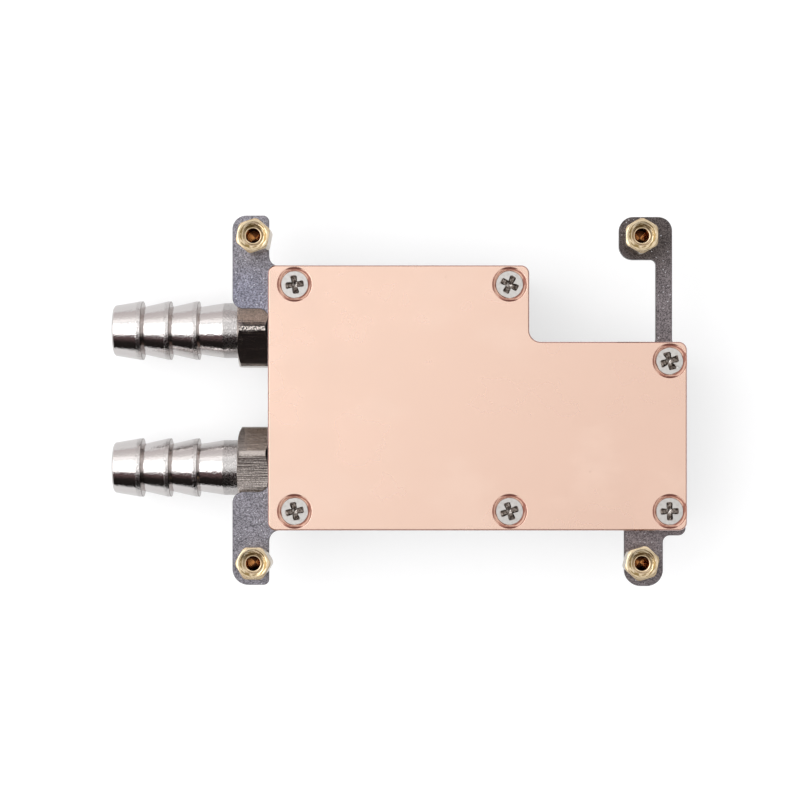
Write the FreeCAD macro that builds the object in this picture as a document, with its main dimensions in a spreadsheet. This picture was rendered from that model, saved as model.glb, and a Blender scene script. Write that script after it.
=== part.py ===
import FreeCAD, Part
import math
import os
import re
import Sketcher

# A liquid cooling block: copper contact plate, sheet steel bracket, housing, hose tails and fasteners.
# The origin is midway between the four standoffs, on the back of the housing. The contact face looks
# along +Z and the hose tails point along -X.

# Driving dimensions in millimetres, and angles in degrees.
SIZES = [
    # contact plate
    ("plate_left", -31.0),
    ("plate_top", 23.2),
    ("plate_length", 72.3),
    ("plate_width", 45.75),
    ("notch_length", 27.2),
    ("notch_width", 13.2),
    ("plate_thickness", 4.0),
    ("plate_corner", 1.4),
    ("notch_corner", 2.0),
    ("plate_edge", 0.2),
    # screw places, from the plate's own edges
    ("screw_inset_left", 4.6),
    ("screw_inset_right", 2.95),
    ("screw_inset_notch", 3.4),
    ("screw_inset_long", 3.3),
    # screws
    ("screw_shank_diameter", 2.5),
    ("screw_head_diameter", 4.7),
    ("screw_head_rim", 0.15),
    ("screw_length", 8.0),
    ("screw_tip_chamfer", 0.3),
    ("screw_clearance", 0.4),
    ("screw_seat_gap", 0.04),
    ("countersink_diameter", 6.0),
    ("recess_span", 3.1),
    ("recess_arm", 0.83),
    ("recess_depth", 1.1),
    ("recess_taper", 11.0),
    ("screw_turn_1", 6.0),
    ("screw_turn_2", 61.0),
    ("screw_turn_3", 13.0),
    ("screw_turn_4", 9.0),
    ("screw_turn_5", 16.0),
    ("screw_turn_6", 1.0),
    # coolant channels in the plate's hidden side
    ("channel_width", 0.9),
    ("channel_pitch", 1.7),
    ("channel_depth", 2.4),
    ("channel_margin", 1.2),
    # bracket
    ("bracket_thickness", 1.5),
    ("frame_margin", 0.15),
    ("frame_notch_recess", 0.5),
    ("window_inset_left", 7.5),
    ("window_inset_right", 6.9),
    ("window_inset_long", 6.1),
    ("window_corner", 1.5),
    ("left_ear_reach", 4.05),
    ("left_ear_end", 4.0),
    ("left_tab_gap", 32.0),
    ("left_ear_inner_corner", 0.9),
    ("upper_left_corner", 2.4),
    ("lower_left_corner", 2.8),
    ("tab_corner", 1.8),
    ("ear_fillet", 1.9),
    ("hook_left_reach", 3.5),
    ("hook_right_reach", 5.7),
    ("hook_upper_reach", 3.75),
    ("hook_lower_reach", 3.65),
    ("hook_corner", 2.4),
    ("hook_fillet", 0.9),
    ("arm_width", 2.8),
    ("arm_fillet", 1.2),
    ("arm_shoulder", 2.3),
    ("shoulder_corner", 1.0),
    ("foot_left_reach", 2.6),
    ("foot_right_reach", 4.1),
    ("foot_end", 4.2),
    ("foot_corner", 2.8),
    ("foot_step", 0.85),
    ("foot_step_corner", 1.3),
    ("foot_fillet", 1.2),
    # standoffs
    ("standoff_spacing_x", 66.8),
    ("standoff_spacing_y", 56.3),
    ("standoff_across_flats", 5.5),
    ("standoff_height", 6.0),
    ("standoff_corner_break", 0.15),
    ("standoff_face_diameter", 5.3),
    ("standoff_mouth_diameter", 4.8),
    ("standoff_dish_depth", 0.22),
    ("standoff_cone_diameter", 3.6),
    ("standoff_start_diameter", 2.9),
    ("standoff_land_drop", 0.05),
    ("standoff_bore_diameter", 2.5),
    ("standoff_bore_depth", 4.6),
    ("standoff_shank_diameter", 4.0),
    ("standoff_shank_clearance", 0.1),
    ("standoff_flare_diameter", 4.9),
    ("standoff_flare_height", 0.4),
    ("standoff_turn_1", 19.0),
    ("standoff_turn_2", 30.0),
    ("standoff_turn_3", 0.0),
    ("standoff_turn_4", 17.3),
    # housing
    ("body_height", 16.0),
    ("body_inset", 0.3),
    ("body_edge", 0.6),
    ("land_clearance", 0.3),
    ("land_margin", 0.8),
    ("groove_width", 1.8),
    ("groove_outer_corner", 2.8),
    ("groove_inner_corner", 1.2),
    ("plenum_wall", 0.9),
    ("plenum_width", 4.5),
    ("plenum_depth", 5.0),
    ("plenum_link_width", 3.5),
    ("plenum_leg_width", 3.2),
    ("plenum_corner", 1.2),
    ("riser_diameter", 3.8),
    ("passage_diameter", 7.0),
    ("passage_length", 6.4),
    ("passage_end_room", 0.8),
    # inserts
    ("insert_diameter", 3.6),
    ("insert_length", 4.0),
    ("insert_waist_depth", 0.25),
    ("insert_waist_length", 0.8),
    ("insert_clearance", 0.1),
    ("insert_thread_clearance", 0.1),
    ("insert_hole_extra", 1.5),
    # seals
    ("seal_groove_depth", 1.35),
    ("seal_side_clearance", 0.1),
    ("seal_edge_radius", 0.4),
    ("port_seal_thickness", 0.8),
    ("port_seal_width", 1.2),
    ("port_seal_edge", 0.3),
    ("port_seal_clearance", 0.1),
    # hose tails
    ("port_spacing", 24.4),
    ("port_drop", 22.8),
    ("port_height", 8.0),
    ("port_depth", 8.5),
    ("port_clearance", 0.1),
    ("fitting_thread_diameter", 9.73),
    ("fitting_thread_length", 7.5),
    ("fitting_thread_chamfer", 0.6),
    ("fitting_bore_diameter", 6.5),
    ("fitting_across_flats", 13.0),
    ("fitting_corner_break", 0.2),
    ("fitting_hex_length", 5.5),
    ("fitting_root_diameter", 9.8),
    ("fitting_root_length", 2.7),
    ("fitting_taper_length", 4.5),
    ("barb_ridge_diameter", 10.4),
    ("barb_valley_diameter", 8.4),
    ("barb_pitch", 5.0),
    ("barb_land", 0.6),
    ("nose_length", 5.1),
    ("nose_diameter", 9.0),
    ("nose_edge", 0.25),
    ("fitting_turn_upper", 0.5),
    ("fitting_turn_lower", 21.0),
    # shared forms
    ("hex_chamfer_angle", 30.0),
    ("drill_point_angle", 118.0),
    ("countersink_angle", 90.0),
]

FULL_TURN = 360.0
HALF_TURN = 180.0
HEX_SIDES = 6
BARB_COUNT = 3
NEAR = 0.001

doc = FreeCAD.newDocument("cooling_block")
sheet = doc.addObject("Spreadsheet::Sheet", "Sizes")
for row, (alias, number) in enumerate(SIZES, start=1):
    sheet.set(f"A{row}", alias)
    sheet.set(f"B{row}", str(number))
    sheet.setAlias(f"B{row}", alias)
doc.recompute()

ALIASES = {alias for alias, number in SIZES}
SUB_PARTS = []


def formula(text):
    """The text with every size's name pointed at its cell."""
    return re.sub(r"[a-z]\w*", lambda word: cell(word.group()), text)


def cell(word):
    return "Sizes." + word if word in ALIASES else word


def value(text):
    return float(sheet.evalExpression(formula(text)))


def bind(thing, target, text):
    thing.setExpression(target, formula(text))


# Places worked out from the driving dimensions.
PLATE_BOTTOM = "(plate_top - plate_width)"
PLATE_RIGHT = "(plate_left + plate_length)"
NOTCH_X = "(plate_left + plate_length - notch_length)"
NOTCH_Y = "(plate_top - notch_width)"
BRACKET_TOP = "(body_height + bracket_thickness)"
CONTACT_FACE = "(body_height + bracket_thickness + plate_thickness)"
PORT_FACE = "(plate_left + body_inset)"
SCREW_BORE = "((screw_shank_diameter + screw_clearance) / 2)"
INSERT_BORE = "((screw_shank_diameter + insert_thread_clearance) / 2)"

SCREW_LEFT = "(plate_left + screw_inset_left)"
SCREW_MIDDLE = f"({NOTCH_X} - screw_inset_notch)"
SCREW_RIGHT = f"({PLATE_RIGHT} - screw_inset_right)"
SCREW_TOP = "(plate_top - screw_inset_long)"
SCREW_LEG = f"({NOTCH_Y} - screw_inset_long)"
SCREW_BOTTOM = f"({PLATE_BOTTOM} + screw_inset_long)"
SCREW_PLACES = [
    (SCREW_LEFT, SCREW_TOP),
    (SCREW_MIDDLE, SCREW_TOP),
    (SCREW_RIGHT, SCREW_LEG),
    (SCREW_LEFT, SCREW_BOTTOM),
    (SCREW_MIDDLE, SCREW_BOTTOM),
    (SCREW_RIGHT, SCREW_BOTTOM),
]

HALF_X = "(standoff_spacing_x / 2)"
HALF_Y = "(standoff_spacing_y / 2)"
STANDOFF_PLACES = [
    (f"-{HALF_X}", HALF_Y),
    (HALF_X, HALF_Y),
    (f"-{HALF_X}", f"-{HALF_Y}"),
    (HALF_X, f"-{HALF_Y}"),
]

PORT_UPPER = "(plate_top - port_drop + port_spacing / 2)"
PORT_LOWER = "(plate_top - port_drop - port_spacing / 2)"

GROOVE_INSET = "(land_clearance + land_margin)"
PLENUM_INSET = f"({GROOVE_INSET} + groove_width + plenum_wall)"


def outline_of_plate(inset, notch_inset):
    """The plate's L outline drawn in by an inset, with its own inset along the notch."""
    return [
        (f"plate_left + {inset}", f"{PLATE_BOTTOM} + {inset}"),
        (f"{PLATE_RIGHT} - {inset}", f"{PLATE_BOTTOM} + {inset}"),
        (f"{PLATE_RIGHT} - {inset}", f"{NOTCH_Y} - {notch_inset}"),
        (f"{NOTCH_X} - {notch_inset}", f"{NOTCH_Y} - {notch_inset}"),
        (f"{NOTCH_X} - {notch_inset}", f"plate_top - {inset}"),
        (f"plate_left + {inset}", f"plate_top - {inset}"),
    ]


def outline_of_window(inset):
    """The bracket window's L outline drawn in by an inset."""
    left = f"plate_left + window_inset_left + {inset}"
    right = f"{PLATE_RIGHT} - window_inset_right - {inset}"
    bottom = f"{PLATE_BOTTOM} + window_inset_long + {inset}"
    top = f"plate_top - window_inset_long - {inset}"
    leg_side = f"{NOTCH_X} - window_inset_long - {inset}"
    leg_top = f"{NOTCH_Y} - window_inset_long - {inset}"
    return [
        (left, bottom),
        (right, bottom),
        (right, leg_top),
        (leg_side, leg_top),
        (leg_side, top),
        (left, top),
    ]


def new_body(label):
    body = doc.addObject("PartDesign::Body", label)
    body.Label = label
    SUB_PARTS.append(body)
    return body


def new_sketch(body, name, role, height="0"):
    """A sketch on one of the body's own planes, raised along that plane's normal."""
    sketch = body.newObject("Sketcher::SketchObject", name)
    plane = [item for item in body.Origin.OriginFeatures if item.Role == role][0]
    sketch.AttachmentSupport = [(plane, "")]
    sketch.MapMode = "FlatFace"
    if height != "0":
        bind(sketch, "AttachmentOffset.Base.z", height)
    return sketch


def hold(sketch, kind, geometry, point, text):
    """Holds one point of a sketch at a distance from the sketch's origin."""
    number = value(text)
    index = sketch.addConstraint(Sketcher.Constraint(kind, -1, 1, geometry, point, number))
    bind(sketch, f"Constraints[{index}]", text)


def draw_polygon(sketch, corners):
    """A closed outline of straight lines, each corner held by its own two distances."""
    places = [FreeCAD.Vector(value(across), value(up), 0) for across, up in corners]
    first = sketch.GeometryCount
    count = len(places)
    for index in range(count):
        sketch.addGeometry(Part.LineSegment(places[index], places[(index + 1) % count]), False)
    for index in range(count):
        following = first + (index + 1) % count
        sketch.addConstraint(Sketcher.Constraint("Coincident", first + index, 2, following, 1))
    for index, (across, up) in enumerate(corners):
        hold(sketch, "DistanceX", first + index, 1, across)
        hold(sketch, "DistanceY", first + index, 1, up)


def draw_circle(sketch, across, up, radius):
    centre = FreeCAD.Vector(value(across), value(up), 0)
    index = sketch.addGeometry(Part.Circle(centre, FreeCAD.Vector(0, 0, 1), value(radius)), False)
    hold(sketch, "DistanceX", index, 3, across)
    hold(sketch, "DistanceY", index, 3, up)
    ring = sketch.addConstraint(Sketcher.Constraint("Radius", index, value(radius)))
    bind(sketch, f"Constraints[{ring}]", radius)


def draw_slot(sketch, across, low, high, radius):
    """An upright slot with round ends, whose end centres are at low and high."""
    middle = value(across)
    reach = value(radius)
    floor = value(low)
    roof = value(high)
    up = FreeCAD.Vector(0, 0, 1)
    roof_circle = Part.Circle(FreeCAD.Vector(middle, roof, 0), up, reach)
    floor_circle = Part.Circle(FreeCAD.Vector(middle, floor, 0), up, reach)
    top = sketch.addGeometry(Part.ArcOfCircle(roof_circle, 0, math.pi), False)
    left = FreeCAD.Vector(middle - reach, roof, 0), FreeCAD.Vector(middle - reach, floor, 0)
    left_line = sketch.addGeometry(Part.LineSegment(*left), False)
    bottom = sketch.addGeometry(Part.ArcOfCircle(floor_circle, math.pi, 2 * math.pi), False)
    right = FreeCAD.Vector(middle + reach, floor, 0), FreeCAD.Vector(middle + reach, roof, 0)
    right_line = sketch.addGeometry(Part.LineSegment(*right), False)
    sketch.addConstraint(Sketcher.Constraint("Tangent", top, 2, left_line, 1))
    sketch.addConstraint(Sketcher.Constraint("Tangent", left_line, 2, bottom, 1))
    sketch.addConstraint(Sketcher.Constraint("Tangent", bottom, 2, right_line, 1))
    sketch.addConstraint(Sketcher.Constraint("Tangent", right_line, 2, top, 1))
    hold(sketch, "DistanceX", top, 3, across)
    hold(sketch, "DistanceY", top, 3, high)
    hold(sketch, "DistanceY", bottom, 3, low)
    ring = sketch.addConstraint(Sketcher.Constraint("Radius", top, reach))
    bind(sketch, f"Constraints[{ring}]", radius)


def add_pad(body, name, sketch, length):
    pad = body.newObject("PartDesign::Pad", name)
    pad.Profile = sketch
    bind(pad, "Length", length)
    doc.recompute()
    return pad


def add_pocket(body, name, sketch, depth, along_normal=False):
    """A pocket that has to take material away, cut against or along the sketch's normal."""
    before = body.Shape.Volume
    pocket = body.newObject("PartDesign::Pocket", name)
    pocket.Profile = sketch
    pocket.Reversed = along_normal
    bind(pocket, "Length", depth)
    doc.recompute()
    check_cut(body, name, before)
    return pocket


def add_turned(body, name, sketch, kind="PartDesign::Revolution"):
    """A profile turned about the sketch's upright axis, added or cut away."""
    before = body.Shape.Volume if body.Tip else 0
    turned = body.newObject(kind, name)
    turned.Profile = sketch
    turned.ReferenceAxis = (sketch, ["V_Axis"])
    turned.Angle = FULL_TURN
    doc.recompute()
    if kind == "PartDesign::Groove":
        check_cut(body, name, before)
    return turned


def check_cut(body, name, before):
    if not body.Shape.Volume < before:
        raise RuntimeError(f"{name} cuts nothing away from {body.Label}")


def upright_edges(shape, corners):
    """The names of the edges that stand upright at the given corners."""
    places = [(value(across), value(up)) for across, up in corners]
    names = []
    for number, edge in enumerate(shape.Edges, start=1):
        points = [vertex.Point for vertex in edge.Vertexes]
        if len(points) == 2 and stands_at(points, places):
            names.append(f"Edge{number}")
    return names


def stands_at(points, places):
    low, high = points
    if math.hypot(low.x - high.x, low.y - high.y) > NEAR:
        return False
    return any(math.hypot(low.x - x, low.y - y) < NEAR for x, y in places)


def level_edges(shape, height):
    """The names of the edges that lie wholly at one height."""
    level = value(height)
    names = []
    for number, edge in enumerate(shape.Edges, start=1):
        box = edge.BoundBox
        if abs(box.ZMin - level) < NEAR and abs(box.ZMax - level) < NEAR:
            names.append(f"Edge{number}")
    return names


def round_corners(body, name, corners, radius):
    fillet = body.newObject("PartDesign::Fillet", name)
    fillet.Base = (fillet.BaseFeature, upright_edges(fillet.BaseFeature.Shape, corners))
    bind(fillet, "Radius", radius)
    doc.recompute()


def soften_level(body, name, heights, size, kind="PartDesign::Chamfer"):
    """Breaks every edge at the given heights with a chamfer or a fillet."""
    softened = body.newObject(kind, name)
    shape = softened.BaseFeature.Shape
    names = [edge for height in heights for edge in level_edges(shape, height)]
    softened.Base = (softened.BaseFeature, names)
    bind(softened, "Radius" if kind == "PartDesign::Fillet" else "Size", size)
    doc.recompute()


def add_l_shape(body, name, corners, height, thickness, outer_corner, inner_corner):
    """A raised L, with one radius on its five outward corners and one on the inward corner."""
    sketch = new_sketch(body, f"{name}_sketch", "XY_Plane", height)
    draw_polygon(sketch, corners)
    add_pad(body, name, sketch, thickness)
    outward = corners[:3] + corners[4:]
    round_corners(body, f"{name}_corners", outward, outer_corner)
    round_corners(body, f"{name}_notch", corners[3:4], inner_corner)


def set_place(body, across, along, up):
    bind(body, "Placement.Base.x", across)
    bind(body, "Placement.Base.y", along)
    bind(body, "Placement.Base.z", up)


def set_turn(body, turn):
    """Turns a body about its own Z axis; the placement holds the axis and the sheet the angle."""
    upright = FreeCAD.Rotation(FreeCAD.Vector(0, 0, 1), FULL_TURN / HEX_SIDES)
    body.Placement = FreeCAD.Placement(FreeCAD.Vector(0, 0, 0), upright)
    bind(body, "Placement.Rotation.Angle", turn)


def hexagon(across_flats, turn):
    """Six corners about the origin, the first one turned from the sketch's own X."""
    reach = corner_reach(across_flats)
    corners = []
    for side in range(HEX_SIDES):
        angle = f"({turn} + {side} * {FULL_TURN / HEX_SIDES})"
        corners.append((f"{reach} * cos({angle})", f"{reach} * sin({angle})"))
    return corners


def corner_reach(across_flats):
    return f"{across_flats} / 2 / cos({HALF_TURN / HEX_SIDES})"


def make_base_plate():
    body = new_body("base_plate")
    corners = outline_of_plate("0", "0")
    add_l_shape(body, "plate", corners, BRACKET_TOP, "plate_thickness", "plate_corner", "notch_corner")
    soften_level(body, "contact_edge", [CONTACT_FACE], "plate_edge")
    cut_channels(body)
    places = new_sketch(body, "screw_places", "XY_Plane", CONTACT_FACE)
    for across, up in SCREW_PLACES:
        draw_circle(places, across, up, SCREW_BORE)
    doc.recompute()
    before = body.Shape.Volume
    hole = body.newObject("PartDesign::Hole", "screw_holes")
    hole.Profile = places
    hole.DepthType = "ThroughAll"
    hole.HoleCutType = "Countersink"
    hole.HoleCutCustomValues = True
    bind(hole, "Diameter", f"2 * {SCREW_BORE}")
    bind(hole, "HoleCutDiameter", "countersink_diameter")
    bind(hole, "HoleCutCountersinkAngle", "countersink_angle")
    doc.recompute()
    check_cut(body, "screw_holes", before)


def cut_channels(body):
    """Two fields of parallel channels from the supply plenum to the return plenum."""
    plenum = outline_of_window(PLENUM_INSET)
    left, bottom = plenum[0]
    right, leg_top = plenum[2]
    leg_side, top = plenum[4]
    link_side = f"({leg_side} - plenum_link_width)"
    fields = [
        ("long", f"({left} + channel_margin)", f"({link_side} - channel_margin)", top),
        ("leg", f"({leg_side} + channel_margin)", f"({right} - channel_margin)", leg_top),
    ]
    for name, start, stop, roof in fields:
        sketch = new_sketch(body, f"{name}_channel", "XY_Plane", BRACKET_TOP)
        low = f"{bottom} + channel_margin"
        draw_slot(sketch, start, low, f"{roof} - channel_margin", "channel_width / 2")
        first = add_pocket(body, f"{name}_channel_cut", sketch, "channel_depth", along_normal=True)
        pattern = body.newObject("PartDesign::LinearPattern", f"{name}_channels")
        pattern.Originals = [first]
        pattern.Direction = (sketch, ["H_Axis"])
        pattern.Mode = "Spacing"
        bind(pattern, "Offset", "channel_pitch")
        bind(pattern, "Occurrences", f"floor(({stop} - {start}) / channel_pitch) + 1")
        body.Tip = pattern
        doc.recompute()


def bracket_outline():
    """The bracket's outer corners, anticlockwise from the upper left ear's root, with their radii."""
    hook_right = f"{HALF_X} + hook_right_reach"
    frame_left = "(plate_left - frame_margin)"
    # the frame goes on past the arm even where the plate ends before it
    frame_right = f"max({PLATE_RIGHT} + frame_margin; {hook_right} + arm_shoulder)"
    frame_top = "(plate_top + frame_margin)"
    frame_bottom = f"({PLATE_BOTTOM} - frame_margin)"
    notch_side = f"({NOTCH_X} - frame_notch_recess)"
    notch_floor = f"({NOTCH_Y} - frame_notch_recess)"
    ear_left = f"-{HALF_X} - left_ear_reach"
    ear_top = f"{HALF_Y} + left_ear_end"
    ear_bottom = f"-{HALF_Y} - left_ear_end"
    foot_left = f"{HALF_X} - foot_left_reach"
    foot_right = f"{HALF_X} + foot_right_reach"
    foot_bottom = f"-{HALF_Y} - foot_end"
    step = f"{frame_bottom} - foot_step"
    hook_left = f"{HALF_X} - hook_left_reach"
    hook_top = f"{HALF_Y} + hook_upper_reach"
    hook_bottom = f"{HALF_Y} - hook_lower_reach"
    arm_left = f"{hook_right} - arm_width"
    return [
        (frame_left, frame_top, "ear_fillet"),
        (frame_left, ear_top, "left_ear_inner_corner"),
        (ear_left, ear_top, "upper_left_corner"),
        (ear_left, "left_tab_gap / 2", "tab_corner"),
        (frame_left, "left_tab_gap / 2", "ear_fillet"),
        (frame_left, "-left_tab_gap / 2", "ear_fillet"),
        (ear_left, "-left_tab_gap / 2", "tab_corner"),
        (ear_left, ear_bottom, "lower_left_corner"),
        (frame_left, ear_bottom, "left_ear_inner_corner"),
        (frame_left, frame_bottom, "ear_fillet"),
        (foot_left, frame_bottom, None),
        (foot_left, foot_bottom, "foot_corner"),
        (foot_right, foot_bottom, "foot_corner"),
        (foot_right, step, "foot_fillet"),
        (frame_right, step, "foot_step_corner"),
        (frame_right, notch_floor, "shoulder_corner"),
        (hook_right, notch_floor, "arm_fillet"),
        (hook_right, hook_top, "hook_corner"),
        (hook_left, hook_top, "hook_corner"),
        (hook_left, hook_bottom, "hook_corner"),
        (arm_left, hook_bottom, "hook_fillet"),
        (arm_left, notch_floor, "arm_fillet"),
        (notch_side, notch_floor, "notch_corner"),
        (notch_side, frame_top, "plate_corner"),
    ]


def make_bracket():
    body = new_body("bracket")
    outline = bracket_outline()
    sketch = new_sketch(body, "bracket_outline", "XY_Plane", "body_height")
    draw_polygon(sketch, [(across, up) for across, up, radius in outline])
    add_pad(body, "bracket_sheet", sketch, "bracket_thickness")
    for radius in dict.fromkeys(radius for across, up, radius in outline if radius):
        corners = [(across, up) for across, up, size in outline if size == radius]
        round_corners(body, f"bracket_{radius}", corners, radius)
    window = new_sketch(body, "window_outline", "XY_Plane", BRACKET_TOP)
    draw_polygon(window, outline_of_window("0"))
    add_pocket(body, "window", window, "bracket_thickness")
    round_corners(body, "window_corners", outline_of_window("0"), "window_corner")
    holes = new_sketch(body, "bracket_holes", "XY_Plane", BRACKET_TOP)
    for across, up in SCREW_PLACES:
        draw_circle(holes, across, up, SCREW_BORE)
    for across, up in STANDOFF_PLACES:
        draw_circle(holes, across, up, "(standoff_shank_diameter + standoff_shank_clearance) / 2")
    add_pocket(body, "bracket_hole_cuts", holes, "bracket_thickness")


def make_body():
    body = new_body("body")
    corners = outline_of_plate("body_inset", "(frame_notch_recess + body_inset)")
    add_l_shape(body, "housing", corners, "0", "body_height", "plate_corner", "notch_corner")
    soften_level(body, "back_edge", ["0"], "body_edge")
    land = outline_of_window("land_clearance")
    add_l_shape(body, "land", land, "body_height", "bracket_thickness", "window_corner", "window_corner")
    cut_seal_groove(body)
    cut_plenums(body)
    cut_ports(body)
    cut_insert_holes(body)


def cut_seal_groove(body):
    outer = outline_of_window(GROOVE_INSET)
    inner = outline_of_window(f"({GROOVE_INSET} + groove_width)")
    sketch = new_sketch(body, "groove_outline", "XY_Plane", BRACKET_TOP)
    draw_polygon(sketch, outer)
    draw_polygon(sketch, inner)
    add_pocket(body, "groove", sketch, "seal_groove_depth")
    round_corners(body, "groove_outer_corners", outer, "groove_outer_corner")
    round_corners(body, "groove_inner_corners", inner, "groove_inner_corner")


def supply_outline():
    """The supply plenum: along the top, down beside the fins and along the top of the leg."""
    plenum = outline_of_window(PLENUM_INSET)
    left = plenum[0][0]
    right, leg_top = plenum[2]
    leg_side, top = plenum[4]
    return [
        (left, f"{top} - plenum_width"),
        (f"{leg_side} - plenum_link_width", f"{top} - plenum_width"),
        (f"{leg_side} - plenum_link_width", f"{leg_top} - plenum_leg_width"),
        (right, f"{leg_top} - plenum_leg_width"),
        (right, leg_top),
        (leg_side, leg_top),
        (leg_side, top),
        (left, top),
    ]


def return_outline():
    """The return plenum: along the bottom, under the far ends of all the fins."""
    plenum = outline_of_window(PLENUM_INSET)
    left, bottom = plenum[0]
    right = plenum[2][0]
    return [
        (left, bottom),
        (right, bottom),
        (right, f"{bottom} + plenum_width"),
        (left, f"{bottom} + plenum_width"),
    ]


def cut_plenums(body):
    sketch = new_sketch(body, "plenum_outline", "XY_Plane", BRACKET_TOP)
    draw_polygon(sketch, supply_outline())
    draw_polygon(sketch, return_outline())
    add_pocket(body, "plenums", sketch, "plenum_depth")
    corners = supply_outline() + return_outline()
    round_corners(body, "plenum_corners", corners, "plenum_corner")


def cut_ports(body):
    """The tapped side ports, the passages behind them and the risers up to the plenums."""
    plenum = outline_of_window(PLENUM_INSET)
    bottom = plenum[0][1]
    top = plenum[4][1]
    passage_end = f"{PORT_FACE} + port_depth + passage_length"
    riser_x = f"{passage_end} - passage_end_room - riser_diameter / 2"
    ports = new_sketch(body, "port_circles", "YZ_Plane", PORT_FACE)
    passages = new_sketch(body, "passage_circles", "YZ_Plane", f"{PORT_FACE} + port_depth")
    risers = new_sketch(body, "riser_circles", "XY_Plane", f"{BRACKET_TOP} - plenum_depth")
    for middle in (PORT_UPPER, PORT_LOWER):
        draw_circle(ports, middle, "port_height", "(fitting_thread_diameter + port_clearance) / 2")
        draw_circle(passages, middle, "port_height", "passage_diameter / 2")
    draw_circle(risers, riser_x, f"{top} - plenum_width / 2", "riser_diameter / 2")
    draw_circle(risers, riser_x, f"{bottom} + plenum_width / 2", "riser_diameter / 2")
    add_pocket(body, "ports", ports, "port_depth", along_normal=True)
    add_pocket(body, "passages", passages, "passage_length", along_normal=True)
    add_pocket(body, "risers", risers, f"{BRACKET_TOP} - plenum_depth - port_height")


def cut_insert_holes(body):
    seats = new_sketch(body, "insert_seats", "XY_Plane", "body_height")
    tips = new_sketch(body, "screw_tip_room", "XY_Plane", "body_height - insert_length")
    for across, up in SCREW_PLACES:
        draw_circle(seats, across, up, "(insert_diameter + insert_clearance) / 2")
        draw_circle(tips, across, up, INSERT_BORE)
    add_pocket(body, "insert_seat_cuts", seats, "insert_length")
    add_pocket(body, "screw_tip_cuts", tips, "insert_hole_extra")


def make_face_seal():
    """The rubber ring that fills the land's groove from floor to plate."""
    body = new_body("face_seal")
    side = "seal_side_clearance"
    outer = outline_of_window(f"({GROOVE_INSET} + {side})")
    inner = outline_of_window(f"({GROOVE_INSET} + groove_width - {side})")
    sketch = new_sketch(body, "seal_outline", "XY_Plane", f"{BRACKET_TOP} - seal_groove_depth")
    draw_polygon(sketch, outer)
    draw_polygon(sketch, inner)
    add_pad(body, "seal_ring", sketch, "seal_groove_depth")
    round_corners(body, "seal_outer_corners", outer, "groove_outer_corner")
    round_corners(body, "seal_inner_corners", inner, "groove_inner_corner")
    heights = [f"{BRACKET_TOP} - seal_groove_depth", BRACKET_TOP]
    soften_level(body, "seal_edges", heights, "seal_edge_radius", kind="PartDesign::Fillet")


def make_screw(number, across, up):
    """A countersunk cross-recess screw, drawn down from the top of its head."""
    body = new_body(f"screw_{number}")
    head = "screw_head_diameter / 2"
    shank = "screw_shank_diameter / 2"
    neck = f"-screw_head_rim - ({head} - {shank}) / tan(countersink_angle / 2)"
    profile = new_sketch(body, f"screw_{number}_profile", "XZ_Plane")
    draw_polygon(profile, [
        ("0", "0"),
        (head, "0"),
        (head, "-screw_head_rim"),
        (shank, neck),
        (shank, "-screw_length + screw_tip_chamfer"),
        (f"{shank} - screw_tip_chamfer", "-screw_length"),
        ("0", "-screw_length"),
    ])
    add_turned(body, f"screw_{number}_blank", profile)
    recess = new_sketch(body, f"screw_{number}_cross", "XY_Plane")
    draw_polygon(recess, cross_outline("recess_span / 2", "recess_arm / 2"))
    cut = add_pocket(body, f"screw_{number}_recess", recess, "recess_depth")
    bind(cut, "TaperAngle", "-recess_taper")
    sink = "((countersink_diameter - screw_head_diameter) / 2 / tan(countersink_angle / 2))"
    set_turn(body, f"screw_turn_{number}")
    set_place(body, across, up, f"{CONTACT_FACE} - {sink} + screw_head_rim + screw_seat_gap")


def cross_outline(reach, arm):
    """The twelve corners of an upright cross, anticlockwise from its right arm."""
    quarter = [(reach, f"-{arm}"), (reach, arm), (arm, arm)]
    corners = []
    for across, up in quarter:
        corners.append((across, up))
    for across, up in quarter:
        corners.append((negative(up), across))
    for across, up in quarter:
        corners.append((negative(across), negative(up)))
    for across, up in quarter:
        corners.append((up, negative(across)))
    return corners


def negative(text):
    return text[1:] if text.startswith("-") else f"-{text}"


def make_insert(number, across, up):
    """A threaded brass bush with a waist between its two gripping bands."""
    body = new_body(f"insert_{number}")
    outside = "insert_diameter / 2"
    waist = f"{outside} - insert_waist_depth"
    waist_top = "-(insert_length - insert_waist_length) / 2"
    waist_bottom = "-(insert_length + insert_waist_length) / 2"
    profile = new_sketch(body, f"insert_{number}_profile", "XZ_Plane")
    draw_polygon(profile, [
        (INSERT_BORE, "0"),
        (outside, "0"),
        (outside, waist_top),
        (waist, waist_top),
        (waist, waist_bottom),
        (outside, waist_bottom),
        (outside, "-insert_length"),
        (INSERT_BORE, "-insert_length"),
    ])
    add_turned(body, f"insert_{number}_bush", profile)
    set_place(body, across, up, "body_height")


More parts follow.
